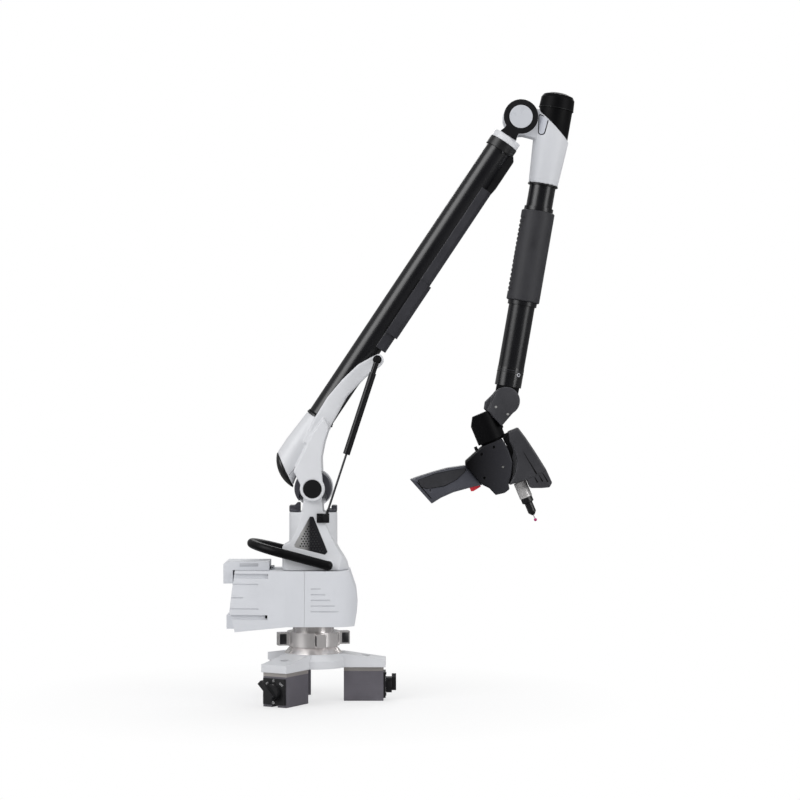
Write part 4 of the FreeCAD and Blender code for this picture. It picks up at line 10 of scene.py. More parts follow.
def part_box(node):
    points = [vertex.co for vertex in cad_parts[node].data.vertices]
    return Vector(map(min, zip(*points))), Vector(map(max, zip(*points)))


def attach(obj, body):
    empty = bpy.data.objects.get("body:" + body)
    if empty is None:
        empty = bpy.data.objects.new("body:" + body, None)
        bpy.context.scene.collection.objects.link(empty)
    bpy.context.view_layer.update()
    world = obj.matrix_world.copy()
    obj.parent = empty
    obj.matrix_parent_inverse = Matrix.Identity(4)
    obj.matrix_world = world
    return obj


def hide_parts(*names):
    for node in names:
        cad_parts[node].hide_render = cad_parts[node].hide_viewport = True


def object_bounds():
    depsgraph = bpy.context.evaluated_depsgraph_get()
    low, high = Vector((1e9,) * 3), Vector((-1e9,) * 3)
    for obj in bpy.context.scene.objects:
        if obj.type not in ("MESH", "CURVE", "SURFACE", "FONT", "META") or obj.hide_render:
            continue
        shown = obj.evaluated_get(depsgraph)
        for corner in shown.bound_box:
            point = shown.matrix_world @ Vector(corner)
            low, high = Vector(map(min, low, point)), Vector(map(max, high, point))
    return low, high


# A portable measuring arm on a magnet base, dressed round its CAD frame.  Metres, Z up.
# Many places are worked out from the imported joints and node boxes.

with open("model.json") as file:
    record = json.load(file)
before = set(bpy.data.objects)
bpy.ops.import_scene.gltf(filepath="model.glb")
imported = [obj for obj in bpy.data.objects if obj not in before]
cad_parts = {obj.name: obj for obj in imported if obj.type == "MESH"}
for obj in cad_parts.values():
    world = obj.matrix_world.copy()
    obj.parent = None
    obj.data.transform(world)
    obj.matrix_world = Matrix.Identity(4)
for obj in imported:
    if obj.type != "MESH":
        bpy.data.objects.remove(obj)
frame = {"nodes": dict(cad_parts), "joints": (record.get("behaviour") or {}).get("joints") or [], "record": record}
cad_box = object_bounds()
nodes = frame["nodes"]
scene = bpy.context.scene
MM = 0.001
Y_AXIS = Vector((0, 1, 0))


# ---------------------------------------------------------------- frames of the moving bodies


def joint(name):
    return next(j for j in frame["joints"] if j["name"] == name)


def frame_along(name_of_place, name_of_axis, axis_is):
    """A frame in millimetres at one joint, with its X or Z axis along another joint's axis."""
    origin = Vector(joint(name_of_place)["pos_m"])
    along = Vector(joint(name_of_axis)["axis"]).normalized()
    x, z = (along, along.cross(Y_AXIS)) if axis_is == "x" else (Y_AXIS.cross(along), along)
    turn = Matrix((x, Y_AXIS, z)).transposed().to_4x4()
    return Matrix.Translation(origin) @ turn @ Matrix.Scale(MM, 4)


WORLD = Matrix.Scale(MM, 4)
ARM = frame_along("shoulder_tilt", "upper_roll", "x")
FORK = frame_along("elbow_tilt", "upper_roll", "x")
FOREARM = frame_along("forearm_roll", "forearm_roll", "z")
WRIST = frame_along("wrist_tilt", "head_roll", "z")
HEAD = frame_along("head_roll", "head_roll", "z")


# ---------------------------------------------------------------- materials


class Graph:
    """A small helper round one node tree."""

    def __init__(self, tree):
        self.tree = tree

    def add(self, kind, inputs=None, **settings):
        made = self.tree.nodes.new(kind)
        for key, value in settings.items():
            setattr(made, key, value)
        for key, value in (inputs or {}).items():
            self.feed(made.inputs[key], value)
        return made

    def feed(self, socket, value):
        if isinstance(value, bpy.types.NodeSocket):
            self.tree.links.new(value, socket)
        else:
            socket.default_value = value

    def maths(self, operation, *values, clamp=False):
        made = self.add("ShaderNodeMath", dict(enumerate(values)), operation=operation, use_clamp=clamp)
        return made.outputs[0]

    def ranged(self, value, low, high, new_low, new_high):
        inputs = {0: value, 1: low, 2: high, 3: new_low, 4: new_high}
        return self.add("ShaderNodeMapRange", inputs, clamp=True).outputs[0]

    def blend(self, factor, first, second):
        made = self.add("ShaderNodeMix", data_type="RGBA")
        for socket, value in zip((made.inputs[0], made.inputs[6], made.inputs[7]), (factor, first, second)):
            self.feed(socket, value)
        return made.outputs[2]


def rgba(color, gain=1.0):
    return tuple(min(1.0, channel * gain) for channel in color) + (1.0,)


def surface(
    name,
    color,
    roughness,
    metallic=0.0,
    specular=0.5,
    coat=0.0,
    mottle=0.05,
    mottle_scale=22,
    grain_scale=1400,
    grain_depth=0.02,
    stretch=(1, 1, 1),
    rough_spread=0.06,
    edge_color=None,
    edge_share=0.5,
    round_edge=0.0007,
    brushed=0.0,
    painted_light_fade=None,
):
    """A procedural finish: mottled colour, uneven gloss, fine grain, and soft edges tinted in patches with edge_color,
    on most finishes a lighter painted rim highlight.

    brushed stretches the gloss round the object's own Z axis, as on turned metal.
    The last argument, (colour, start, end), paints light and shade: the colour goes over to that one along the object's
    X.
    """
    material = bpy.data.materials.new(name)
    material.use_nodes = True
    graph = Graph(material.node_tree)
    shader = material.node_tree.nodes["Principled BSDF"]
    place = graph.add("ShaderNodeTexCoord").outputs["Object"]
    spread = graph.add("ShaderNodeMapping", {"Vector": place, "Scale": stretch}).outputs[0]
    cloud = graph.add("ShaderNodeTexNoise", {"Vector": place, "Scale": mottle_scale, "Detail": 5.0}).outputs[0]
    grain = graph.add("ShaderNodeTexNoise", {"Vector": spread, "Scale": grain_scale, "Detail": 2.0}).outputs[0]
    tone = graph.blend(graph.ranged(cloud, 0.3, 0.7, 0, 1), rgba(color, 1 - mottle), rgba(color, 1 + mottle))
    speck = graph.ranged(grain, 0.35, 0.65, 0, 1)
    tone = graph.blend(graph.maths("MULTIPLY", speck, mottle), tone, rgba(color, 1.6))
    # painted light and shade: the tone goes over to another colour along the object's X
    if painted_light_fade:
        other, start, end = painted_light_fade
        across = graph.add("ShaderNodeSeparateXYZ", {0: place}).outputs["X"]
        tone = graph.blend(graph.ranged(across, start, end, 0, 1), tone, rgba(other))
    bevel = graph.add("ShaderNodeBevel", {"Radius": round_edge}, samples=4).outputs[0]
    # painted rim highlight: rounded edges take edge_color in patches, lighter than the face on most finishes, darker on
    # a few
    if edge_color:
        flat = graph.add("ShaderNodeNewGeometry").outputs["True Normal"]
        turn = graph.add("ShaderNodeVectorMath", {0: bevel, 1: flat}, operation="DOT_PRODUCT").outputs["Value"]
        edge = graph.ranged(turn, 0.99, 0.86, 0, edge_share)
        patchy = graph.maths("MULTIPLY", edge, graph.ranged(cloud, 0.4, 0.6, 0.35, 1))
        tone = graph.blend(patchy, tone, rgba(edge_color))
    graph.feed(shader.inputs["Base Color"], tone)
    uneven = graph.ranged(cloud, 0.3, 0.7, roughness - rough_spread, roughness + rough_spread)
    graph.feed(shader.inputs["Roughness"], uneven)
    shader.inputs["Metallic"].default_value = metallic
    shader.inputs["Specular IOR Level"].default_value = specular
    shader.inputs["Coat Weight"].default_value = coat
    shader.inputs["Coat Roughness"].default_value = 0.18
    if brushed:
        shader.inputs["Anisotropic"].default_value = brushed
        around = graph.add("ShaderNodeTangent", direction_type="RADIAL", axis="Z").outputs[0]
        graph.feed(shader.inputs["Tangent"], around)
        shader.inputs["Anisotropic Rotation"].default_value = 0.25
    bump = graph.add("ShaderNodeBump", {"Height": grain, "Normal": bevel, "Strength": grain_depth, "Distance": 0.001})
    graph.feed(shader.inputs["Normal"], bump.outputs[0])
    return material


PAINT = surface("light_paint", (0.68, 0.69, 0.715), 0.4, mottle=0.02, grain_scale=1600, grain_depth=0.03,
                edge_color=(0.78, 0.78, 0.79), edge_share=0.4, round_edge=0.0012)
SHELL = surface("light_shell", (0.66, 0.675, 0.71), 0.5, mottle=0.02, grain_scale=2200, grain_depth=0.07,
                edge_color=(0.75, 0.76, 0.78), edge_share=0.4, round_edge=0.0009)
TUBE = surface("black_tube", (0.006, 0.006, 0.0075), 0.27, mottle=0.12, grain_scale=3000, grain_depth=0.004,
               rough_spread=0.02, edge_color=(0.03, 0.03, 0.033))
SATIN_BLACK = surface("satin_black", (0.0055, 0.0055, 0.0065), 0.36, mottle=0.15, grain_depth=0.02,
                      edge_color=(0.03, 0.03, 0.034), round_edge=0.001)
# the charcoal and grip edge colours paint a light rim highlight
CHARCOAL = surface("charcoal_plastic", (0.036, 0.036, 0.041), 0.4, mottle=0.15, grain_scale=2600,
                   grain_depth=0.1, edge_color=(0.1, 0.1, 0.115), edge_share=0.7, round_edge=0.0018)
GRIP = surface("grip_plastic", (0.058, 0.06, 0.074), 0.34, mottle=0.12, grain_scale=2600, grain_depth=0.05,
               edge_color=(0.15, 0.15, 0.18), edge_share=0.8, round_edge=0.005)
SHROUD = surface("shroud_grey", (0.05, 0.05, 0.062), 0.42, mottle=0.08, grain_depth=0.03,
                 edge_color=(0.09, 0.09, 0.105))
DEEP_BLACK = surface("deep_black", (0.003, 0.003, 0.0035), 0.5, specular=0.08, mottle=0.15, grain_scale=2400,
                     grain_depth=0.06, edge_color=(0.02, 0.02, 0.023), round_edge=0.001)
SOCKET = surface("polished_black", (0.004, 0.004, 0.005), 0.16, specular=0.7, coat=0.4, mottle=0.15,
                 grain_scale=3000, grain_depth=0.003, rough_spread=0.02, edge_color=(0.03, 0.03, 0.033))
GUARD = surface("guard_plastic", (0.03, 0.03, 0.036), 0.36, mottle=0.1, grain_scale=1800, grain_depth=0.04,
                edge_color=(0.07, 0.07, 0.08), round_edge=0.0015)
GLOSS = surface("gloss_black", (0.003, 0.003, 0.0035), 0.42, specular=0.16, mottle=0.2, grain_depth=0.003,
                rough_spread=0.02, edge_color=(0.012, 0.012, 0.014), round_edge=0.0012)
RUBBER = surface("rubber", (0.03, 0.03, 0.034), 0.5, specular=0.3, mottle=0.18, grain_scale=3000,
                 grain_depth=0.15, edge_color=(0.035, 0.035, 0.038), round_edge=0.0009)
STEEL = surface("turned_steel", (0.88, 0.85, 0.84), 0.22, metallic=0.72, mottle=0.03, stretch=(4, 4, 900),
                grain_scale=3, grain_depth=0.015, rough_spread=0.03, edge_color=(0.8, 0.8, 0.8), round_edge=0.0005,
                brushed=0.75)
DARK_STEEL = surface("dark_steel", (0.1, 0.1, 0.105), 0.3, metallic=0.9, mottle=0.08, grain_depth=0.03,
                     edge_color=(0.3, 0.3, 0.31), round_edge=0.0003)
BRIGHT = surface("bright_steel", (0.7, 0.7, 0.71), 0.24, metallic=1.0, mottle=0.04, grain_depth=0.02,
                 edge_color=(0.85, 0.85, 0.85), round_edge=0.0003)
ADAPTER = surface("adapter_steel", (0.6, 0.59, 0.585), 0.42, metallic=0.45, mottle=0.015, rough_spread=0.02,
                  grain_depth=0.001, round_edge=0.00003)
IRON = surface("ground_iron", (0.175, 0.166, 0.19), 0.42, metallic=0.4, mottle=0.1, stretch=(2, 2, 700),
               grain_scale=3, grain_depth=0.08, edge_color=(0.2, 0.19, 0.21), round_edge=0.0008)
SPACER = surface("spacer_steel", (0.5, 0.47, 0.45), 0.36, metallic=0.7, mottle=0.1, stretch=(2, 2, 300),
                 grain_scale=3, grain_depth=0.06, edge_color=(0.6, 0.58, 0.56))
PLATE_BLACK = surface("plate_black", (0.008, 0.008, 0.0095), 0.45, mottle=0.15, grain_scale=2000,
                      grain_depth=0.08, edge_color=(0.04, 0.04, 0.045))
# painted reflection: the grille's metal goes from bright at its left to dark grey at its right
GRILLE = surface("grille_metal", (0.8, 0.79, 0.78), 0.3, metallic=0.75, mottle=0.1, grain_depth=0.02,
                 edge_color=(0.2, 0.2, 0.21), edge_share=0.3, round_edge=0.0003, painted_light_fade=((0.05, 0.05, 0.056), -0.018, -0.004))
# painted light: the lining behind the grille's holes goes lighter towards its right
LINING = surface("grille_lining", (0.02, 0.02, 0.022), 0.8, specular=0.2, mottle=0.1, grain_depth=0.05,
                 painted_light_fade=((0.12, 0.12, 0.125), -0.01, 0.0))
# painted shade: near black for the gaps, grooves, slits, seams, holes and recess ends drawn with it
GAP_SHADE = surface("painted_gap_shade", (0.002, 0.002, 0.0025), 0.7, specular=0.2, mottle=0.1, grain_depth=0.02)
BADGE = surface("badge_face", (0.56, 0.575, 0.61), 0.3, coat=0.3, mottle=0.02, grain_depth=0.01,
                edge_color=(0.7, 0.7, 0.72))
INSERT = surface("housing_insert", (0.46, 0.48, 0.53), 0.42, mottle=0.03, grain_scale=2200, grain_depth=0.03,
                 edge_color=(0.6, 0.61, 0.65))
LABEL = surface("bare_label", (0.47, 0.48, 0.51), 0.55, mottle=0.03, grain_depth=0.03)
RED = surface("red_plastic", (0.8, 0.03, 0.05), 0.3, mottle=0.06, grain_depth=0.03, edge_color=(0.75, 0.15, 0.16))
RUBY = surface("ruby", (0.42, 0.01, 0.14), 0.08, coat=0.8, mottle=0.1, grain_depth=0.0, edge_color=(0.6, 0.05, 0.2))
BOARD = surface("solder_mask", (0.02, 0.12, 0.05), 0.4, mottle=0.1, grain_depth=0.04, edge_color=(0.1, 0.2, 0.1))
SCREW_GREY = surface("screw_grey", (0.34, 0.34, 0.33), 0.4, metallic=0.15, mottle=0.04, grain_depth=0.01,
                     edge_color=(0.5, 0.5, 0.49), round_edge=0.0003)
PRINT = surface("white_print", (0.7, 0.7, 0.71), 0.5, mottle=0.03, grain_depth=0.01)


def smoked_glass():
    material = surface("smoked_glass", (0.012, 0.013, 0.016), 0.06, coat=0.7, mottle=0.1, grain_depth=0.004)
    material.node_tree.nodes["Principled BSDF"].inputs["Transmission Weight"].default_value = 0.25
    return material


GLASS = smoked_glass()


def painted_shading_across(name, label, left_color, right_color, *rest, **settings):
    """A finish with painted light and shade: its colour goes over from one to another across a CAD node."""
    low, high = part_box(label)
    return surface(name, left_color, *rest, painted_light_fade=(right_color, low[0], high[0]), **settings)


# painted light: the head goes from near black at its left to lighter at its right
HEAD_PLASTIC = painted_shading_across("head_plastic", "head_shells", (0.001, 0.001, 0.0012), (0.036, 0.036, 0.042), 0.38,
                             specular=0.12, mottle=0.15, grain_scale=2600, grain_depth=0.08, edge_color=(0.07, 0.07, 0.08),
                             round_edge=0.0015)
# painted shade: the housing is darker at its left and goes over to its paint colour at its right
HOUSING = painted_shading_across("housing_paint", "elbow_housing", (0.46, 0.475, 0.51), (0.68, 0.69, 0.715), 0.4,
                        mottle=0.02, grain_scale=1600, grain_depth=0.03, edge_color=(0.72, 0.72, 0.74),
                        edge_share=0.3, round_edge=0.0012)

FINISH = {
    "mount_plate": PAINT,
    "magnet_spacers": SPACER,
    "magnet_blocks": IRON,
    "magnet_faceplates": PLATE_BLACK,
    "mount_screws": BRIGHT,
    "magnet_switch_right": PLATE_BLACK,
    "magnet_switch_rear": PLATE_BLACK,
    "magnet_switch_front": PLATE_BLACK,
    "mount_flange": STEEL,
    "locking_ring": STEEL,
    "base_post": STEEL,
    "base_chassis": SPACER,
    "base_cover_right": SHELL,
    "base_cover_tail": SHELL,
    "circuit_board": BOARD,
    "battery_pack": SHELL,
    "battery_latch": SATIN_BLACK,
    "swivel_bearings": STEEL,
    "turret_casting": PAINT,
    "turret_shroud": SHROUD,
    "turret_grilles": GRILLE,
    "swivel_shaft": STEEL,
    "carry_handle": GLOSS,
    "strut_lower_bracket": SATIN_BLACK,
    "shoulder_bearings": STEEL,
    "shoulder_yoke": PAINT,
    "yoke_end_cap": SATIN_BLACK,
    "shoulder_axle": STEEL,
    "shoulder_caps": SATIN_BLACK,
    "upper_tube": TUBE,
    "tube_clamp": SATIN_BLACK,
    "tube_guard": GUARD,
    "guard_bumper": GUARD,
    "strut_upper_stud": SATIN_BLACK,
    "roll_bearings": STEEL,
    "strut_cylinder": TUBE,
    "strut_rod": DARK_STEEL,
    "elbow_collar": PAINT,
    "elbow_cheeks": PAINT,
    "elbow_axle": STEEL,
    "inner_tube": TUBE,
    "elbow_housing": HOUSING,
    "elbow_covers": DEEP_BLACK,
    "elbow_bearings": STEEL,
    "forearm_tube": TUBE,
    "forearm_grip": RUBBER,
    "wrist_socket": SOCKET,
    "wrist_cheeks": CHARCOAL,
    "wrist_block": DEEP_BLACK,
    "wrist_axle": STEEL,
    "head_shells": HEAD_PLASTIC,
    "head_spindle": DEEP_BLACK,
    "pistol_grip": GRIP,
    "grip_pads": RUBBER,
    "scanner_body": CHARCOAL,
    "scanner_window": GLASS,
    "probe_adapter": ADAPTER,
    "stylus": SATIN_BLACK,
    "trigger": RED,
    "head_button": SATIN_BLACK,
}


def dress(obj, material):
    obj.data.materials.clear()
    obj.data.materials.append(material)


for label, node in nodes.items():
    dress(node, FINISH[label])


# ---------------------------------------------------------------- mesh helpers

FRONT, REAR = -1, 1
ARC_STEPS = 10
FAR_OFF = 0.2


def body_of(label):
    groups = frame["record"]["behaviour"]["bodies"]
    return next(body for body, members in groups.items() if label in members)


def dress_parts(label, finishes, near, rule):
    """Gives each face of a CAD node one of several finishes, by where it lies in a frame."""
    node = nodes[label]
    node.data.materials.clear()
    for finish in finishes:
        node.data.materials.append(finish)
    back = near.inverted() @ node.matrix_world
    for face in node.data.polygons:
        face.material_index = rule(back @ face.center)


def settle(name, mesh, modifiers, at=Matrix()):
    """A copy of a mesh with a list of (type, settings) modifiers applied."""
    scratch = bpy.data.objects.new(name + "_scratch", mesh)
    scene.collection.objects.link(scratch)
    scratch.matrix_world = at
    for kind, settings in modifiers:
        modifier = scratch.modifiers.new(kind, kind)
        for key, value in settings.items():
            setattr(modifier, key, value)
    view = bpy.context.evaluated_depsgraph_get()
    made = bpy.data.meshes.new_from_object(scratch.evaluated_get(view))
    bpy.data.objects.remove(scratch)
    made.name = name
    return made


def keep(name, mesh, label, material, at=Matrix(), sharp=38):
    """Keeps a finished mesh as a piece that sits on a CAD node: it takes that node's body."""
    piece = bpy.data.objects.new(name, mesh)
    scene.collection.objects.link(piece)
    piece.matrix_world = at
    mesh.materials.clear()
    mesh.materials.append(material)
    mesh.shade_smooth()
    mesh.set_sharp_from_angle(angle=math.radians(sharp))
    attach(piece, body_of(label))
    return piece


def lay(near, at=(0, 0, 0), turn=Matrix()):
    """Rigid matrix of a piece whose own origin is at a place in one of the frames."""
    place, spin, _ = (near @ Matrix.Translation(Vector(at)) @ turn).decompose()
    return Matrix.LocRotScale(place, spin, None)


def facing(side):
    """Turns a piece's own Z to the front (-Y) or to the rear (+Y)."""
    return Matrix.Rotation(math.radians(-90 * side), 4, "X")


def mesh_of(shape, name):
    bmesh.ops.recalc_face_normals(shape, faces=shape.faces)
    bmesh.ops.scale(shape, vec=(MM, MM, MM), verts=shape.verts)
    mesh = bpy.data.meshes.new(name)
    shape.to_mesh(mesh)
    shape.free()
    return mesh


def turned(name, profile, steps=56):
    """Mesh turned about Z from (radius, height) corners in millimetres."""
    shape = bmesh.new()
    corners = [shape.verts.new((radius, 0, height)) for radius, height in profile]
    edges = [shape.edges.new(pair) for pair in zip(corners, corners[1:])]
    around = {"cent": (0, 0, 0), "axis": (0, 0, 1), "angle": 2 * math.pi, "steps": steps}
    bmesh.ops.spin(shape, geom=corners + edges, use_merge=True, **around)
    bmesh.ops.remove_doubles(shape, verts=shape.verts, dist=0.001)
    return mesh_of(shape, name)


def ring(name, inner, outer, low, high, soft=0.2):
    """Flat ring or short sleeve with soft outer edges."""
    profile = [
        (inner, low),
        (outer - soft, low),
        (outer, low + soft),
        (outer, high - soft),
        (outer - soft, high),
        (inner, high),
        (inner, low),
    ]
    return turned(name, profile)


def prism(name, corners, low, high):
    """Mesh of an outline in a frame's XZ plane, between two places along Y, in millimetres."""
    shape = bmesh.new()
    near = shape.faces.new([shape.verts.new((x, low, z)) for x, z in corners])
    grown = bmesh.ops.extrude_face_region(shape, geom=[near])["geom"]
    moved = [part for part in grown if isinstance(part, bmesh.types.BMVert)]
    bmesh.ops.translate(shape, vec=(0, high - low, 0), verts=moved)
    return mesh_of(shape, name)


def block(name, x, y, z):
    return prism(name, [(x[0], z[0]), (x[1], z[0]), (x[1], z[1]), (x[0], z[1])], *y)


def arc(centre, radius, start, end, steps=ARC_STEPS):
    """Corners along an arc, its ends given in degrees."""
    turns = [math.radians(start + (end - start) * k / steps) for k in range(steps + 1)]
    return [(centre[0] + radius * math.cos(turn), centre[1] + radius * math.sin(turn)) for turn in turns]


def softened(name, mesh, width=0.4):
    return settle(name, mesh, [("BEVEL", {"width": width * MM, "segments": 3, "limit_method": "ANGLE"})])


def plate(name, corners, face, thickness, side, label, material, near, soft=0.4):
    """Thin plate on a flat front or rear face."""
    low, high = sorted((side * face, side * (face + thickness)))
    mesh = softened(name, prism(name + "_raw", corners, low, high), soft)
    return keep(name, mesh, label, material, lay(near))


def tool(name, mesh, near):
    """A cutter for castings, in its frame."""
    cutter = bpy.data.objects.new(name, mesh)
    scene.collection.objects.link(cutter)
    cutter.matrix_world = lay(near)
    cutter.hide_render = True
    return cutter


def crowned(mesh, near, centre, reach, rise):
    """Bulges both flat faces of a moulding a little, most at one place of a frame."""
    back = near.inverted()
    for corner in mesh.vertices:
        place = back @ corner.co
        off = math.hypot(place.x - centre[0], place.z - centre[1]) / reach
        corner.co.y *= 1 + rise * max(0, 1 - off * off)


def cast(label, voxel, rounds, faces_kept=1.0, cutters=(), crown=None):
    """Stands for a CAD node with the same solid, its edges melted into one another as in a casting."""
    steps = [
        ("REMESH", {"mode": "VOXEL", "voxel_size": voxel * MM}),
        ("SMOOTH", {"factor": 0.5, "iterations": rounds}),
    ]
    if faces_kept < 1:
        steps.append(("DECIMATE", {"ratio": faces_kept}))
    for cutter in cutters:
        steps.append(("BOOLEAN", {"object": cutter, "operation": "DIFFERENCE", "solver": "MANIFOLD"}))
    mesh = settle(label + "_cast", nodes[label].data.copy(), steps)
    if crown:
        crowned(mesh, *crown)
    piece = keep(label + "_cast", mesh, label, FINISH[label])
    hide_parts(label)
    for cutter in cutters:
        bpy.data.objects.remove(cutter)
    return piece


def screw(name, at, face, side, radius, label, near, material, rise=0.8):
    """Screw head with a socket, standing out of a front or rear face."""
    profile = [
        (0, rise * 0.35),
        (radius * 0.5, rise * 0.35),
        (radius * 0.5, rise),
        (radius * 0.85, rise),
        (radius, rise * 0.75),
        (radius, -0.5),
        (0, -0.5),
    ]
    mesh = turned(name, profile, 24)
    return keep(name, mesh, label, material, lay(near, (at[0], side * face, at[1]), facing(side)))


def face_at(piece, near, at, side):
    """How far out a piece's front or rear face is at one place of a frame, in millimetres."""
    surface_tree = BVHTree.FromObject(piece, bpy.context.evaluated_depsgraph_get())
    start = near @ Vector((at[0], 0, at[1]))
    start.y = side * FAR_OFF
    hit = surface_tree.ray_cast(start, Vector((0, -side, 0)))[0]
    return abs(hit.y) / MM


def hull(points):
    """Convex outline round a set of points in a plane."""
    points = sorted(set(points))

    def chain(row):
        kept = []
        for place in row:
            while len(kept) > 1 and (
                (kept[-1][0] - kept[-2][0]) * (place[1] - kept[-2][1])
                <= (kept[-1][1] - kept[-2][1]) * (place[0] - kept[-2][0])
            ):
                kept.pop()
            kept.append(place)
        return kept[:-1]

    return chain(points) + chain(points[::-1])


def draped(name, corners, near, side, target, label, material, lift, thickness):
    """A thin inlay that follows a curved surface: its outline is thrown onto it along Y."""
    shape = bmesh.new()
    shape.faces.new([shape.verts.new((x, 0, z)) for x, z in corners])
    bmesh.ops.triangulate(shape, faces=shape.faces)
    bmesh.ops.subdivide_edges(shape, edges=shape.edges, cuts=5, use_grid_fill=True)
    surface_tree = BVHTree.FromObject(target, bpy.context.evaluated_depsgraph_get())
    inward = Vector((0, -side, 0))
    off_edge = []
    for corner in shape.verts:
        start = near @ corner.co
        start.y = side * FAR_OFF
        hit, normal, _, _ = surface_tree.ray_cast(start, inward)
        if hit is None:
            off_edge.append(corner)
        else:
            corner.co = hit + normal * lift * MM
    bmesh.ops.delete(shape, geom=off_edge, context="VERTS")
    mesh = bpy.data.meshes.new(name + "_raw")
    bmesh.ops.recalc_face_normals(shape, faces=shape.faces)
    if sum(face.normal.y for face in shape.faces) * side < 0:
        bmesh.ops.reverse_faces(shape, faces=shape.faces)
    shape.to_mesh(mesh)
    shape.free()
    made = settle(name, mesh, [("SOLIDIFY", {"thickness": thickness * MM, "offset": 1})])
    return keep(name, made, label, material)


# ---------------------------------------------------------------- studio


def floor_material():
    """Pale floor that keeps the object's shadow near it and fades into the backdrop further off."""
    material = bpy.data.materials.new("floor")
    material.use_nodes = True
    graph = Graph(material.node_tree)
    shader = material.node_tree.nodes["Principled BSDF"]
    shader.inputs["Base Color"].default_value = (0.86, 0.86, 0.87, 1)
    shader.inputs["Roughness"].default_value = 0.85
    place = graph.add("ShaderNodeTexCoord").outputs["Object"]
    distance = graph.add("ShaderNodeVectorMath", {0: place}, operation="LENGTH").outputs["Value"]
    far = graph.ranged(distance, 0.12, 0.6, 0.62, 1.0)
    ray = graph.add("ShaderNodeLightPath")
    gloss = ray.outputs["Is Glossy Ray"]
    seen = graph.maths("MAXIMUM", ray.outputs["Is Camera Ray"], ray.outputs["Is Transmission Ray"])
    share = graph.maths("MAXIMUM", graph.maths("MULTIPLY", far, seen), gloss)
    strength = graph.ranged(gloss, 0, 1, 1.0, 0.16)
    glow = graph.add("ShaderNodeEmission", {"Color": (1, 1, 1, 1), "Strength": strength}).outputs[0]
    mix = graph.add("ShaderNodeMixShader", {0: share, 1: shader.outputs[0], 2: glow})
    graph.feed(material.node_tree.nodes["Material Output"].inputs["Surface"], mix.outputs[0])
    return material


def make_floor():
    mesh = bpy.data.meshes.new("floor")
    reach = 30
    corners = [(-reach, -reach, 0), (reach, -reach, 0), (reach, reach, 0), (-reach, reach, 0)]
    mesh.from_pydata(corners, [], [(0, 1, 2, 3)])
    floor = bpy.data.objects.new("floor", mesh)
    scene.collection.objects.link(floor)
    dress(floor, floor_material())


def make_world():
    """White backdrop to the camera; to gloss it is a dark room with a tall bright panel on each side."""
    world = bpy.data.worlds.new("studio")
    scene.world = world
    world.use_nodes = True
    graph = Graph(world.node_tree)
    back = world.node_tree.nodes["Background"]
    ray = graph.add("ShaderNodeLightPath")
    toward = graph.add("ShaderNodeSeparateXYZ", {0: graph.add("ShaderNodeTexCoord").outputs["Generated"]})
    front = graph.maths("MULTIPLY", toward.outputs["Y"], -1)
    aside = graph.maths("ARCTAN2", graph.maths("ABSOLUTE", toward.outputs["X"]), front)
    opening = graph.ranged(aside, 0.55, 0.85, 0.05, 1.5)
    closing = graph.ranged(aside, 1.1, 1.5, 1.0, 0.22)
    studio = graph.maths("MULTIPLY", opening, closing)
    glossy = graph.maths("MAXIMUM", ray.outputs["Is Glossy Ray"], ray.outputs["Is Transmission Ray"])
    dim = graph.maths("MULTIPLY", glossy, studio)
    ambient = graph.maths("MULTIPLY", graph.maths("SUBTRACT", 1.0, glossy), 0.5)
    either = graph.maths("ADD", dim, ambient)
    strength = graph.maths("MAXIMUM", either, ray.outputs["Is Camera Ray"])
    back.inputs["Color"].default_value = (1, 1, 1, 1)
    graph.feed(back.inputs["Strength"], strength)


def make_light(name, place, target, size, power):
    lamp = bpy.data.lights.new(name, "AREA")
    lamp.shape = "RECTANGLE"
    lamp.size, lamp.size_y = size
    lamp.energy = power
    light = bpy.data.objects.new(name, lamp)
    scene.collection.objects.link(light)
    light.location = place
    light.rotation_euler = (Vector(target) - Vector(place)).to_track_quat("-Z", "Y").to_euler()


def make_camera():
    """Level camera in front of the object, far enough off for the photograph's flat perspective."""
    camera = bpy.data.objects.new("camera", bpy.data.cameras.new("camera"))
    scene.collection.objects.link(camera)
    low, high = (Vector(corner) for corner in cad_box)
    distance = 4.2
    view_width = 1.482
    camera.data.sensor_width = 36
    camera.data.lens = camera.data.sensor_width * distance / view_width
    middle = (0.1605, 0, 0.554)
    camera.location = (middle[0], -distance, middle[2])
    camera.rotation_euler = (math.radians(90), 0, 0)
    scene.camera = camera


make_camera()
make_floor()
make_world()
centre = (0.15, 0, 0.6)
make_light("key", (-2.2, -2.0, 2.6), centre, (2.4, 2.4), 66)
make_light("fill", (2.6, -1.6, 1.4), centre, (1.2, 2.4), 26)
make_light("back", (0.4, 2.4, 2.2), centre, (2.4, 1.2), 30)
scene.view_settings.view_transform = "Standard"


# ---------------------------------------------------------------- places read from the frame


def low_of(label, axis):
    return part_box(label)[0][axis] / MM


def high_of(label, axis):
    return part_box(label)[1][axis] / MM


def reach_along(label, near, axis):
    """Lowest and highest place of a CAD node along one axis of a frame, in millimetres."""
    back = near.inverted() @ nodes[label].matrix_world
    places = [(back @ corner.co)[axis] for corner in nodes[label].data.vertices]
    return min(places), max(places)


def strut_frame():
    origin = Vector(joint("strut_swing")["pos_m"])
    along = Vector(joint("strut_slide")["axis"]).normalized()
    turn = Matrix((Y_AXIS.cross(along), Y_AXIS, along)).transposed().to_4x4()
    return Matrix.Translation(origin) @ turn @ Matrix.Scale(MM, 4)


STRUT = strut_frame()
FEET = [Matrix.Rotation(math.radians(120 * k), 4, "Z") @ WORLD for k in range(3)]

# ---------------------------------------------------------------- faces with a finish of their own

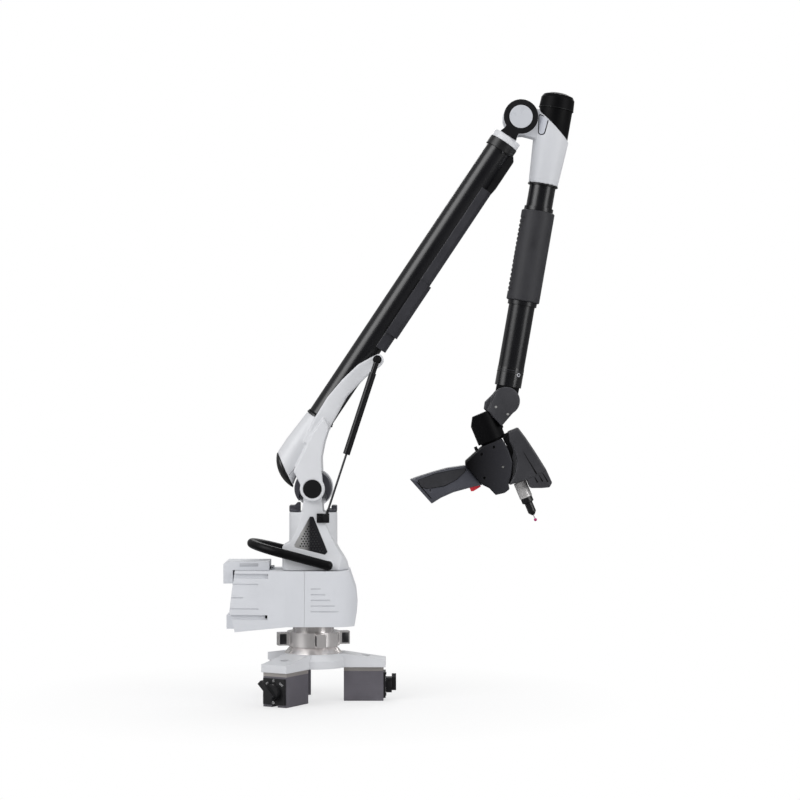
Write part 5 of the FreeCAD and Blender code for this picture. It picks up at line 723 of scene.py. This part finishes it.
plate_top = high_of("magnet_spacers", 2) + 1
dress_parts("mount_screws", (BRIGHT, DARK_STEEL), WORLD, lambda at: int(at.z > plate_top))
rod_low = reach_along("strut_rod", STRUT, 2)[0]
dress_parts("strut_rod", (DARK_STEEL, SATIN_BLACK), STRUT, lambda at: int(at.z < rod_low + 22))
tip = reach_along("stylus", HEAD, 2)[0]
ball_size, stem_size = 5.6, 13
dress_parts(
    "stylus",
    (SATIN_BLACK, BRIGHT, RUBY),
    HEAD,
    lambda at: 2 if at.z < tip + ball_size else 1 if at.z < tip + stem_size else 0,
)

# ---------------------------------------------------------------- castings and mouldings


def head_cutters():
    """Screw holes in both faces of the head."""
    half = reach_along("head_shells", HEAD, 1)[1]
    holes = []
    for number, at in enumerate(HEAD_HOLES + [HEAD_SCREW]):
        for side in (FRONT, REAR):
            hole = turned(f"head_hole_{number}_{side}", [(0, -2.2), (2.6, -2.2), (2.6, 3), (0, 3)], 24)
            cutter = tool(f"head_hole_{number}_{side}", hole, HEAD)
            cutter.matrix_world = lay(HEAD, (at[0], side * half, at[1]), facing(side))
            holes.append(cutter)
    return holes


def scanner_cutters():
    """Set-back lens part, on both faces of the scanner."""
    half = reach_along("scanner_body", HEAD, 1)[1]
    cutters = []
    for side in (FRONT, REAR):
        low, high = sorted((side * (half - 1.3), side * (half + 4)))
        name = f"scanner_step_{side}"
        cutters.append(tool(name, prism(name, SCANNER_STEP, low, high), HEAD))
    return cutters


def slit(start, end, width):
    """Outline of a straight slit that widens to a width at its end."""
    along = (Vector(end) - Vector(start)).normalized()
    across = Vector((-along.y, along.x))
    first, last = Vector(start), Vector(end)
    corners = [first + across * width * 0.2, first - across * width * 0.2]
    corners += [last - across * width * 0.5, last + across * width * 0.5]
    return [tuple(corner) for corner in corners]


HEAD_HOLES = [(-2.3, -70.2), (-28.3, -73.7), (-40.1, -115.9)]
HEAD_SCREW = (-0.6, -110.1)
SCANNER_STEP = [(30, -146.4), (58, -146.4), (70, -144.6), (84, -143), (84, -190), (30, -190)]
SCANNER_SLITS = [
    slit((44.6, -99), (47.2, -118), 1.6),
    slit((46.9, -116), (51.4, -146), 3.0),
    slit((45.8, -150), (47.2, -161), 2.8),
    slit((54.6, -149.5), (56.4, -163), 2.8),
    slit((62.2, -148.5), (64.9, -167), 2.8),
]


def grip_cutters():
    """Room for the pulled trigger, and a screw hole near the end plate on both faces."""
    half = reach_along("pistol_grip", HEAD, 1)[1]
    room = 0.6
    spans = [reach_along("trigger", HEAD, axis) for axis in range(3)]
    x, y, z = [(low - room, high + room) for low, high in spans]
    cutters = [tool("trigger_room", block("trigger_room", x, y, (z[0], z[1] + TRIGGER_TRAVEL)), HEAD)]
    for side in (FRONT, REAR):
        hole = turned(f"grip_hole_{side}", [(0, -2.2), (2.2, -2.2), (2.2, 3), (0, 3)], 24)
        cutter = tool(f"grip_hole_{side}", hole, HEAD)
        cutter.matrix_world = lay(HEAD, (GRIP_SCREW[0], side * half, GRIP_SCREW[1]), facing(side))
        cutters.append(cutter)
    return cutters


GRIP_SCREW = (-140.7, -99)
TRIGGER_TRAVEL = 4

yoke = cast("shoulder_yoke", 1.6, 9, 0.5)
cast("turret_casting", 1.6, 5, 0.5)
housing = cast("elbow_housing", 1.4, 7, 0.5)
cast("yoke_end_cap", 1.4, 6, 0.5)
cast("elbow_cheeks", 1.0, 3, 0.5)
cast("wrist_cheeks", 1.0, 4, 0.5)
cast("wrist_block", 1.1, 4, 0.5)
head = cast("head_shells", 1.0, 9, 0.5, head_cutters(), (HEAD, (-22, -92), 62, 0.09))
grip = cast("pistol_grip", 1.0, 12, 0.5, grip_cutters())
scanner = cast("scanner_body", 1.0, 9, 0.5, scanner_cutters(), (HEAD, (52, -128), 62, 0.07))
cast("turret_shroud", 1.2, 4, 0.5)

# ---------------------------------------------------------------- magnet base


def words(name, text, height, near, at, turn, label):
    """Raised lettering on a face square to a frame's X axis."""
    curve = bpy.data.curves.new(name + "_text", "FONT")
    curve.body = text
    curve.size = height
    curve.extrude = 0.12
    curve.align_x = "CENTER"
    curve.align_y = "CENTER"
    writing = bpy.data.objects.new(name + "_text", curve)
    scene.collection.objects.link(writing)
    view = bpy.context.evaluated_depsgraph_get()
    mesh = bpy.data.meshes.new_from_object(writing.evaluated_get(view))
    bpy.data.objects.remove(writing)
    mesh.transform(Matrix.Scale(MM, 4))
    upright = Matrix(((0, 0, 1, 0), (1, 0, 0, 0), (0, 1, 0, 0), (0, 0, 0, 1)))
    keep(name, mesh, label, PRINT, lay(near, at, upright @ Matrix.Rotation(math.radians(turn), 4, "Z")))


face_reach = high_of("magnet_faceplates", 0)
switch_height = joint("switch_right")["pos_m"][2] / MM
for number, near in enumerate(FEET):
    for text, side, turn in (("ON", -1, 38), ("OFF", 1, -38)):
        at = (face_reach + 0.05, side * 15.5, switch_height + 14.5)
        words(f"switch_{text}_{number}", text, 5.2, near, at, turn, "magnet_faceplates")

# painted shade: dark plates on both sides of the locking ring's lugs, where their pockets lie in shade
ring_low, ring_high = low_of("locking_ring", 2), high_of("locking_ring", 2)
lug_half = 8.75
lug_turn = 15
for number in range(4):
    near = Matrix.Rotation(math.radians(lug_turn + 90 * number), 4, "Z") @ WORLD
    for side in (FRONT, REAR):
        corners = [(52.5, ring_low + 3.6), (65.2, ring_low + 3.6), (65.2, ring_high - 3.6), (52.5, ring_high - 3.6)]
        plate(f"lug_pocket_{number}_{side}", corners, lug_half, 0.25, side, "locking_ring", PLATE_BLACK, near, 0.1)

# ---------------------------------------------------------------- base housing and turret

battery_front = high_of("battery_pack", 1)
battery_top = high_of("battery_pack", 2)
label_corners = [(-134, battery_top - 9), (-100, battery_top - 9), (-100, battery_top - 3.2), (-134, battery_top - 3.2)]
for side in (FRONT, REAR):
    plate(f"battery_plate_{side}", label_corners, battery_front, 0.3, side, "battery_pack", LABEL, WORLD, 0.12)

recess_floor = 52.9
# painted shade: dark plates at the far ends of the tail's recesses, where shade falls
for side in (FRONT, REAR):
    corners = [(-86, 155), (-79.6, 155), (-79.6, 163.5), (-86, 163.5)]
    plate(f"recess_end_low_{side}", corners, recess_floor, 3.6, side, "base_cover_tail", GAP_SHADE, WORLD, 0.3)
    corners = [(-81.4, 232), (-79.6, 232), (-79.6, 240), (-81.4, 240)]
    plate(f"recess_end_high_{side}", corners, recess_floor, 3.6, side, "base_cover_tail", GAP_SHADE, WORLD, 0.3)

grille_half = high_of("turret_grilles", 1)
grille_left, grille_right = low_of("turret_grilles", 0), high_of("turret_grilles", 0)
grille_low, grille_high = low_of("turret_grilles", 2), high_of("turret_grilles", 2)
lining = [(grille_left, grille_low + 14), (grille_right, grille_low), (-1.7, grille_high)]
for side in (FRONT, REAR):
    plate(f"grille_lining_{side}", lining, grille_half - 3.4, 0.6, side, "turret_grilles", LINING, WORLD, 0.1)

# ---------------------------------------------------------------- shoulder and upper arm

tube_axis = ARM.inverted() @ Vector(joint("upper_roll")["pos_m"])
along_arm = Matrix.Rotation(math.radians(90), 4, "Y")
mouth = 112.4
mesh = ring("tube_foot_collar", 25.15, 27.4, 0, 3.4, 0.4)
keep("tube_foot_collar", mesh, "shoulder_yoke", SATIN_BLACK, lay(ARM, (mouth - 0.4, 0, tube_axis.z), along_arm))
# painted shade: a dark ring at the tube's foot, past the collar
mesh = ring("tube_foot_lip", 25.15, 26.2, 0, 3.2, 0.3)
keep("tube_foot_lip", mesh, "shoulder_yoke", GAP_SHADE, lay(ARM, (mouth + 3, 0, tube_axis.z), along_arm))
for side in (FRONT, REAR):
    corners = slit((-3.5, 50.3), (10.4, 48.2), 0.9)
    draped(f"barrel_line_{side}", corners, ARM, side, yoke, "shoulder_yoke", DARK_STEEL, 0.04, 0.1)
mesh = turned("clamp_screw", [(0, 0.3), (0.9, 0.3), (0.9, 0.8), (1.5, 0.8), (1.8, 0.5), (1.8, -1), (0, -1)], 24)
lean = Matrix.Rotation(math.radians(90 + 18), 4, "X")
band_radius = 28
at = (708.7, -band_radius * math.cos(math.radians(18)), tube_axis.z - band_radius * math.sin(math.radians(18)))
keep("clamp_screw", mesh, "tube_clamp", DARK_STEEL, lay(ARM, at, lean))

# ---------------------------------------------------------------- elbow

cheek_face = reach_along("elbow_cheeks", FORK, 1)[1]
disc_radius, neck_half, foot_half, neck_end = 31.9, 14.2, 17.1, -42.4
joined = 180 - math.degrees(math.asin(neck_half / disc_radius))
keyhole = arc((0, 0), disc_radius, -joined, joined, 48)
keyhole += [(neck_end * 0.8, neck_half), (neck_end, foot_half), (neck_end, -foot_half), (neck_end * 0.8, -neck_half)]
badge_radius = 21.3
for side in (FRONT, REAR):
    plate(f"elbow_plate_{side}", keyhole, cheek_face, 1.5, side, "elbow_cheeks", SATIN_BLACK, FORK, 0.6)
    rise = 1.5
    profile = [(0, rise + 0.9), (badge_radius - 1.5, rise + 0.8), (badge_radius, rise + 0.3), (badge_radius, 0), (0, 0)]
    mesh = turned(f"elbow_badge_{side}", profile, 72)
    keep(f"elbow_badge_{side}", mesh, "elbow_cheeks", BADGE, lay(FORK, (0, side * cheek_face, 0), facing(side)))
    # painted shade: a dark groove ring round the badge
    mesh = ring(f"elbow_badge_rim_{side}", badge_radius + 0.05, badge_radius + 1.0, 0, rise + 0.35, 0.2)
    keep(f"elbow_badge_rim_{side}", mesh, "elbow_cheeks", GAP_SHADE, lay(FORK, (0, side * cheek_face, 0), facing(side)))


def tongue(grow):
    """Outline of the housing's inlay: slanting top, straight sides, round foot."""
    foot = arc((-20.2, -20.4), 4.9 + grow, -160, -15, 12)
    return [(-29.2 - grow, 7.6 + grow), (-27.4 - grow * 0.5, 9.6 + grow), (-12.8 + grow, 3.9 + grow)][::-1] + foot


# painted shade: a dark outline under the inlay, in the seam round it
for side in (FRONT, REAR):
    name = f"housing_inlay_edge_{side}"
    draped(name, tongue(1.8), FOREARM, side, housing, "elbow_housing", GAP_SHADE, 0.08, 0.14)
    draped(f"housing_inlay_{side}", tongue(0), FOREARM, side, housing, "elbow_housing", INSERT, 0.1, 0.4)

housing_foot = reach_along("elbow_housing", FOREARM, 2)[0]
mesh = ring("housing_lip", 24.6, 28.3, 0, 2.4, 0.5)
keep("housing_lip", mesh, "elbow_housing", SATIN_BLACK, lay(FOREARM, (0, 0, housing_foot - 2.2)))
mesh = ring("cap_seam", 30, 32.65, 0, 0.9, 0.3)
keep("cap_seam", mesh, "elbow_covers", SATIN_BLACK, lay(FOREARM, (0, 0, 27.2)))

# ---------------------------------------------------------------- forearm and wrist

socket_radius = 24.6
mesh = ring("socket_ring", socket_radius - 1, socket_radius + 0.45, 0, 1.3, 0.25)
keep("socket_ring", mesh, "wrist_socket", SATIN_BLACK, lay(FOREARM, (0, 0, -467.6)))
mesh = ring("socket_seam", socket_radius - 1, socket_radius + 0.2, 0, 0.8, 0.15)
keep("socket_seam", mesh, "wrist_socket", GUARD, lay(FOREARM, (0, 0, -463.4)))
badge_across = 15.1
aside = math.degrees(math.asin(badge_across / socket_radius))
for side in (FRONT, REAR):
    out = side * socket_radius * math.cos(math.radians(aside))
    turn = Matrix.Rotation(math.radians(-side * aside), 4, "Z") @ facing(side)
    mesh = ring(f"socket_badge_{side}", 2.3, 3.7, -1, 0.5, 0.25)
    keep(f"socket_badge_{side}", mesh, "wrist_socket", BADGE, lay(FOREARM, (badge_across, out, -469.5), turn))

cheek_half = reach_along("wrist_cheeks", WRIST, 1)[1]
paddle = arc((0, 0), 25.2, 111, -43, 40) + [(-24.9, -38.6), (-36.3, -4.6)]
for side in (FRONT, REAR):
    plate(f"wrist_plate_{side}", paddle, cheek_half, 0.9, side, "wrist_cheeks", CHARCOAL, WRIST, 0.5)
    for number, at in enumerate(((-21.1, -3.2), (-6.2, -24))):
        screw(f"wrist_screw_{number}_{side}", at, cheek_half + 0.9, side, 2.2, "wrist_cheeks", WRIST, SCREW_GREY, 0.8)

# ---------------------------------------------------------------- head, grip and probe

for side in (FRONT, REAR):
    face = face_at(head, HEAD, HEAD_SCREW, side)
    screw(f"head_screw_{side}", HEAD_SCREW, face, side, 2.2, "head_shells", HEAD, SCREW_GREY, 0.8)
    # painted shade: dark screw-shaped pieces sit in the three other cut holes
    for number, at in enumerate(HEAD_HOLES):
        name = f"head_screw_{number}_{side}"
        screw(name, at, face_at(head, HEAD, at, side), side, 2.3, "head_shells", HEAD, GAP_SHADE, 0.3)

groove_side = [(0, -143.5), (16.6, -130), (30, -109), (32, -85), (30.1, -72)]
head_side = [(34, -55), (21.6, -72), (21.6, -85), (19.6, -109), (8.6, -130), (-2, -143.5)]
core_half = 18
pad_points = [HEAD.inverted() @ corner.co for corner in nodes["grip_pads"].data.vertices]
pad_outline = hull([(round(place.x, 2), round(place.z, 2)) for place in pad_points])
pad_centre = (sum(x for x, _ in pad_outline) / len(pad_outline), sum(z for _, z in pad_outline) / len(pad_outline))
seam_width = 1.3
# painted shade: a dark piece in the throat between the head and the scanner
throat = [(20.5, -73), (20.5, -60), (24, -56.4), (33.8, -55.4), (34.2, -57), (21.8, -73)]
mesh = softened("head_throat", prism("head_throat_raw", throat, -core_half + 1, core_half - 1), 0.3)
keep("head_throat", mesh, "scanner_body", GAP_SHADE, lay(HEAD))


def grown(corner):
    out = Vector(corner) - Vector(pad_centre)
    return tuple(Vector(pad_centre) + out * (1 + seam_width / out.length))


# painted shade: dark strips in the scanner's groove and slits, round the grip's pads and along its end plate
for side in (FRONT, REAR):
    plate(f"scanner_groove_{side}", groove_side + head_side, core_half, 0.7, side, "scanner_body", GAP_SHADE, HEAD, 0.1)
    for number, corners in enumerate(SCANNER_SLITS):
        draped(f"scanner_slit_{number}_{side}", corners, HEAD, side, scanner, "scanner_body", GAP_SHADE, 0.04, 0.12)
    corners = [grown(corner) for corner in pad_outline]
    draped(f"grip_pad_seam_{side}", corners, HEAD, side, grip, "pistol_grip", GAP_SHADE, 0.04, 0.14)
    line = [(-161.8, -66), (-160, -66), (-141, -123), (-142.8, -123)]
    draped(f"grip_end_line_{side}", line, HEAD, side, grip, "pistol_grip", GAP_SHADE, 0.04, 0.12)

adapter_low, adapter_high = reach_along("probe_adapter", HEAD, 2)
adapter_place = sum(reach_along("probe_adapter", HEAD, 0)) / 2
adapter_radius = 12
profile = [(3, adapter_low), (adapter_radius - 1, adapter_low), (adapter_radius, adapter_low + 0.8)]
for place in (adapter_low + 5, adapter_low + 19, adapter_low + 22):
    for step, depth in ((-0.5, 0), (-0.3, 0.6), (0.3, 0.6), (0.5, 0)):
        profile.append((adapter_radius - depth, place + step))
profile += [(adapter_radius, adapter_high - 1), (adapter_radius - 1, adapter_high), (3, adapter_high), (3, adapter_low)]
mesh = turned("probe_sleeve", profile, 72)
sleeve = keep("probe_sleeve", mesh, "probe_adapter", ADAPTER, lay(HEAD, (adapter_place, 0, 0)))
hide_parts("probe_adapter")
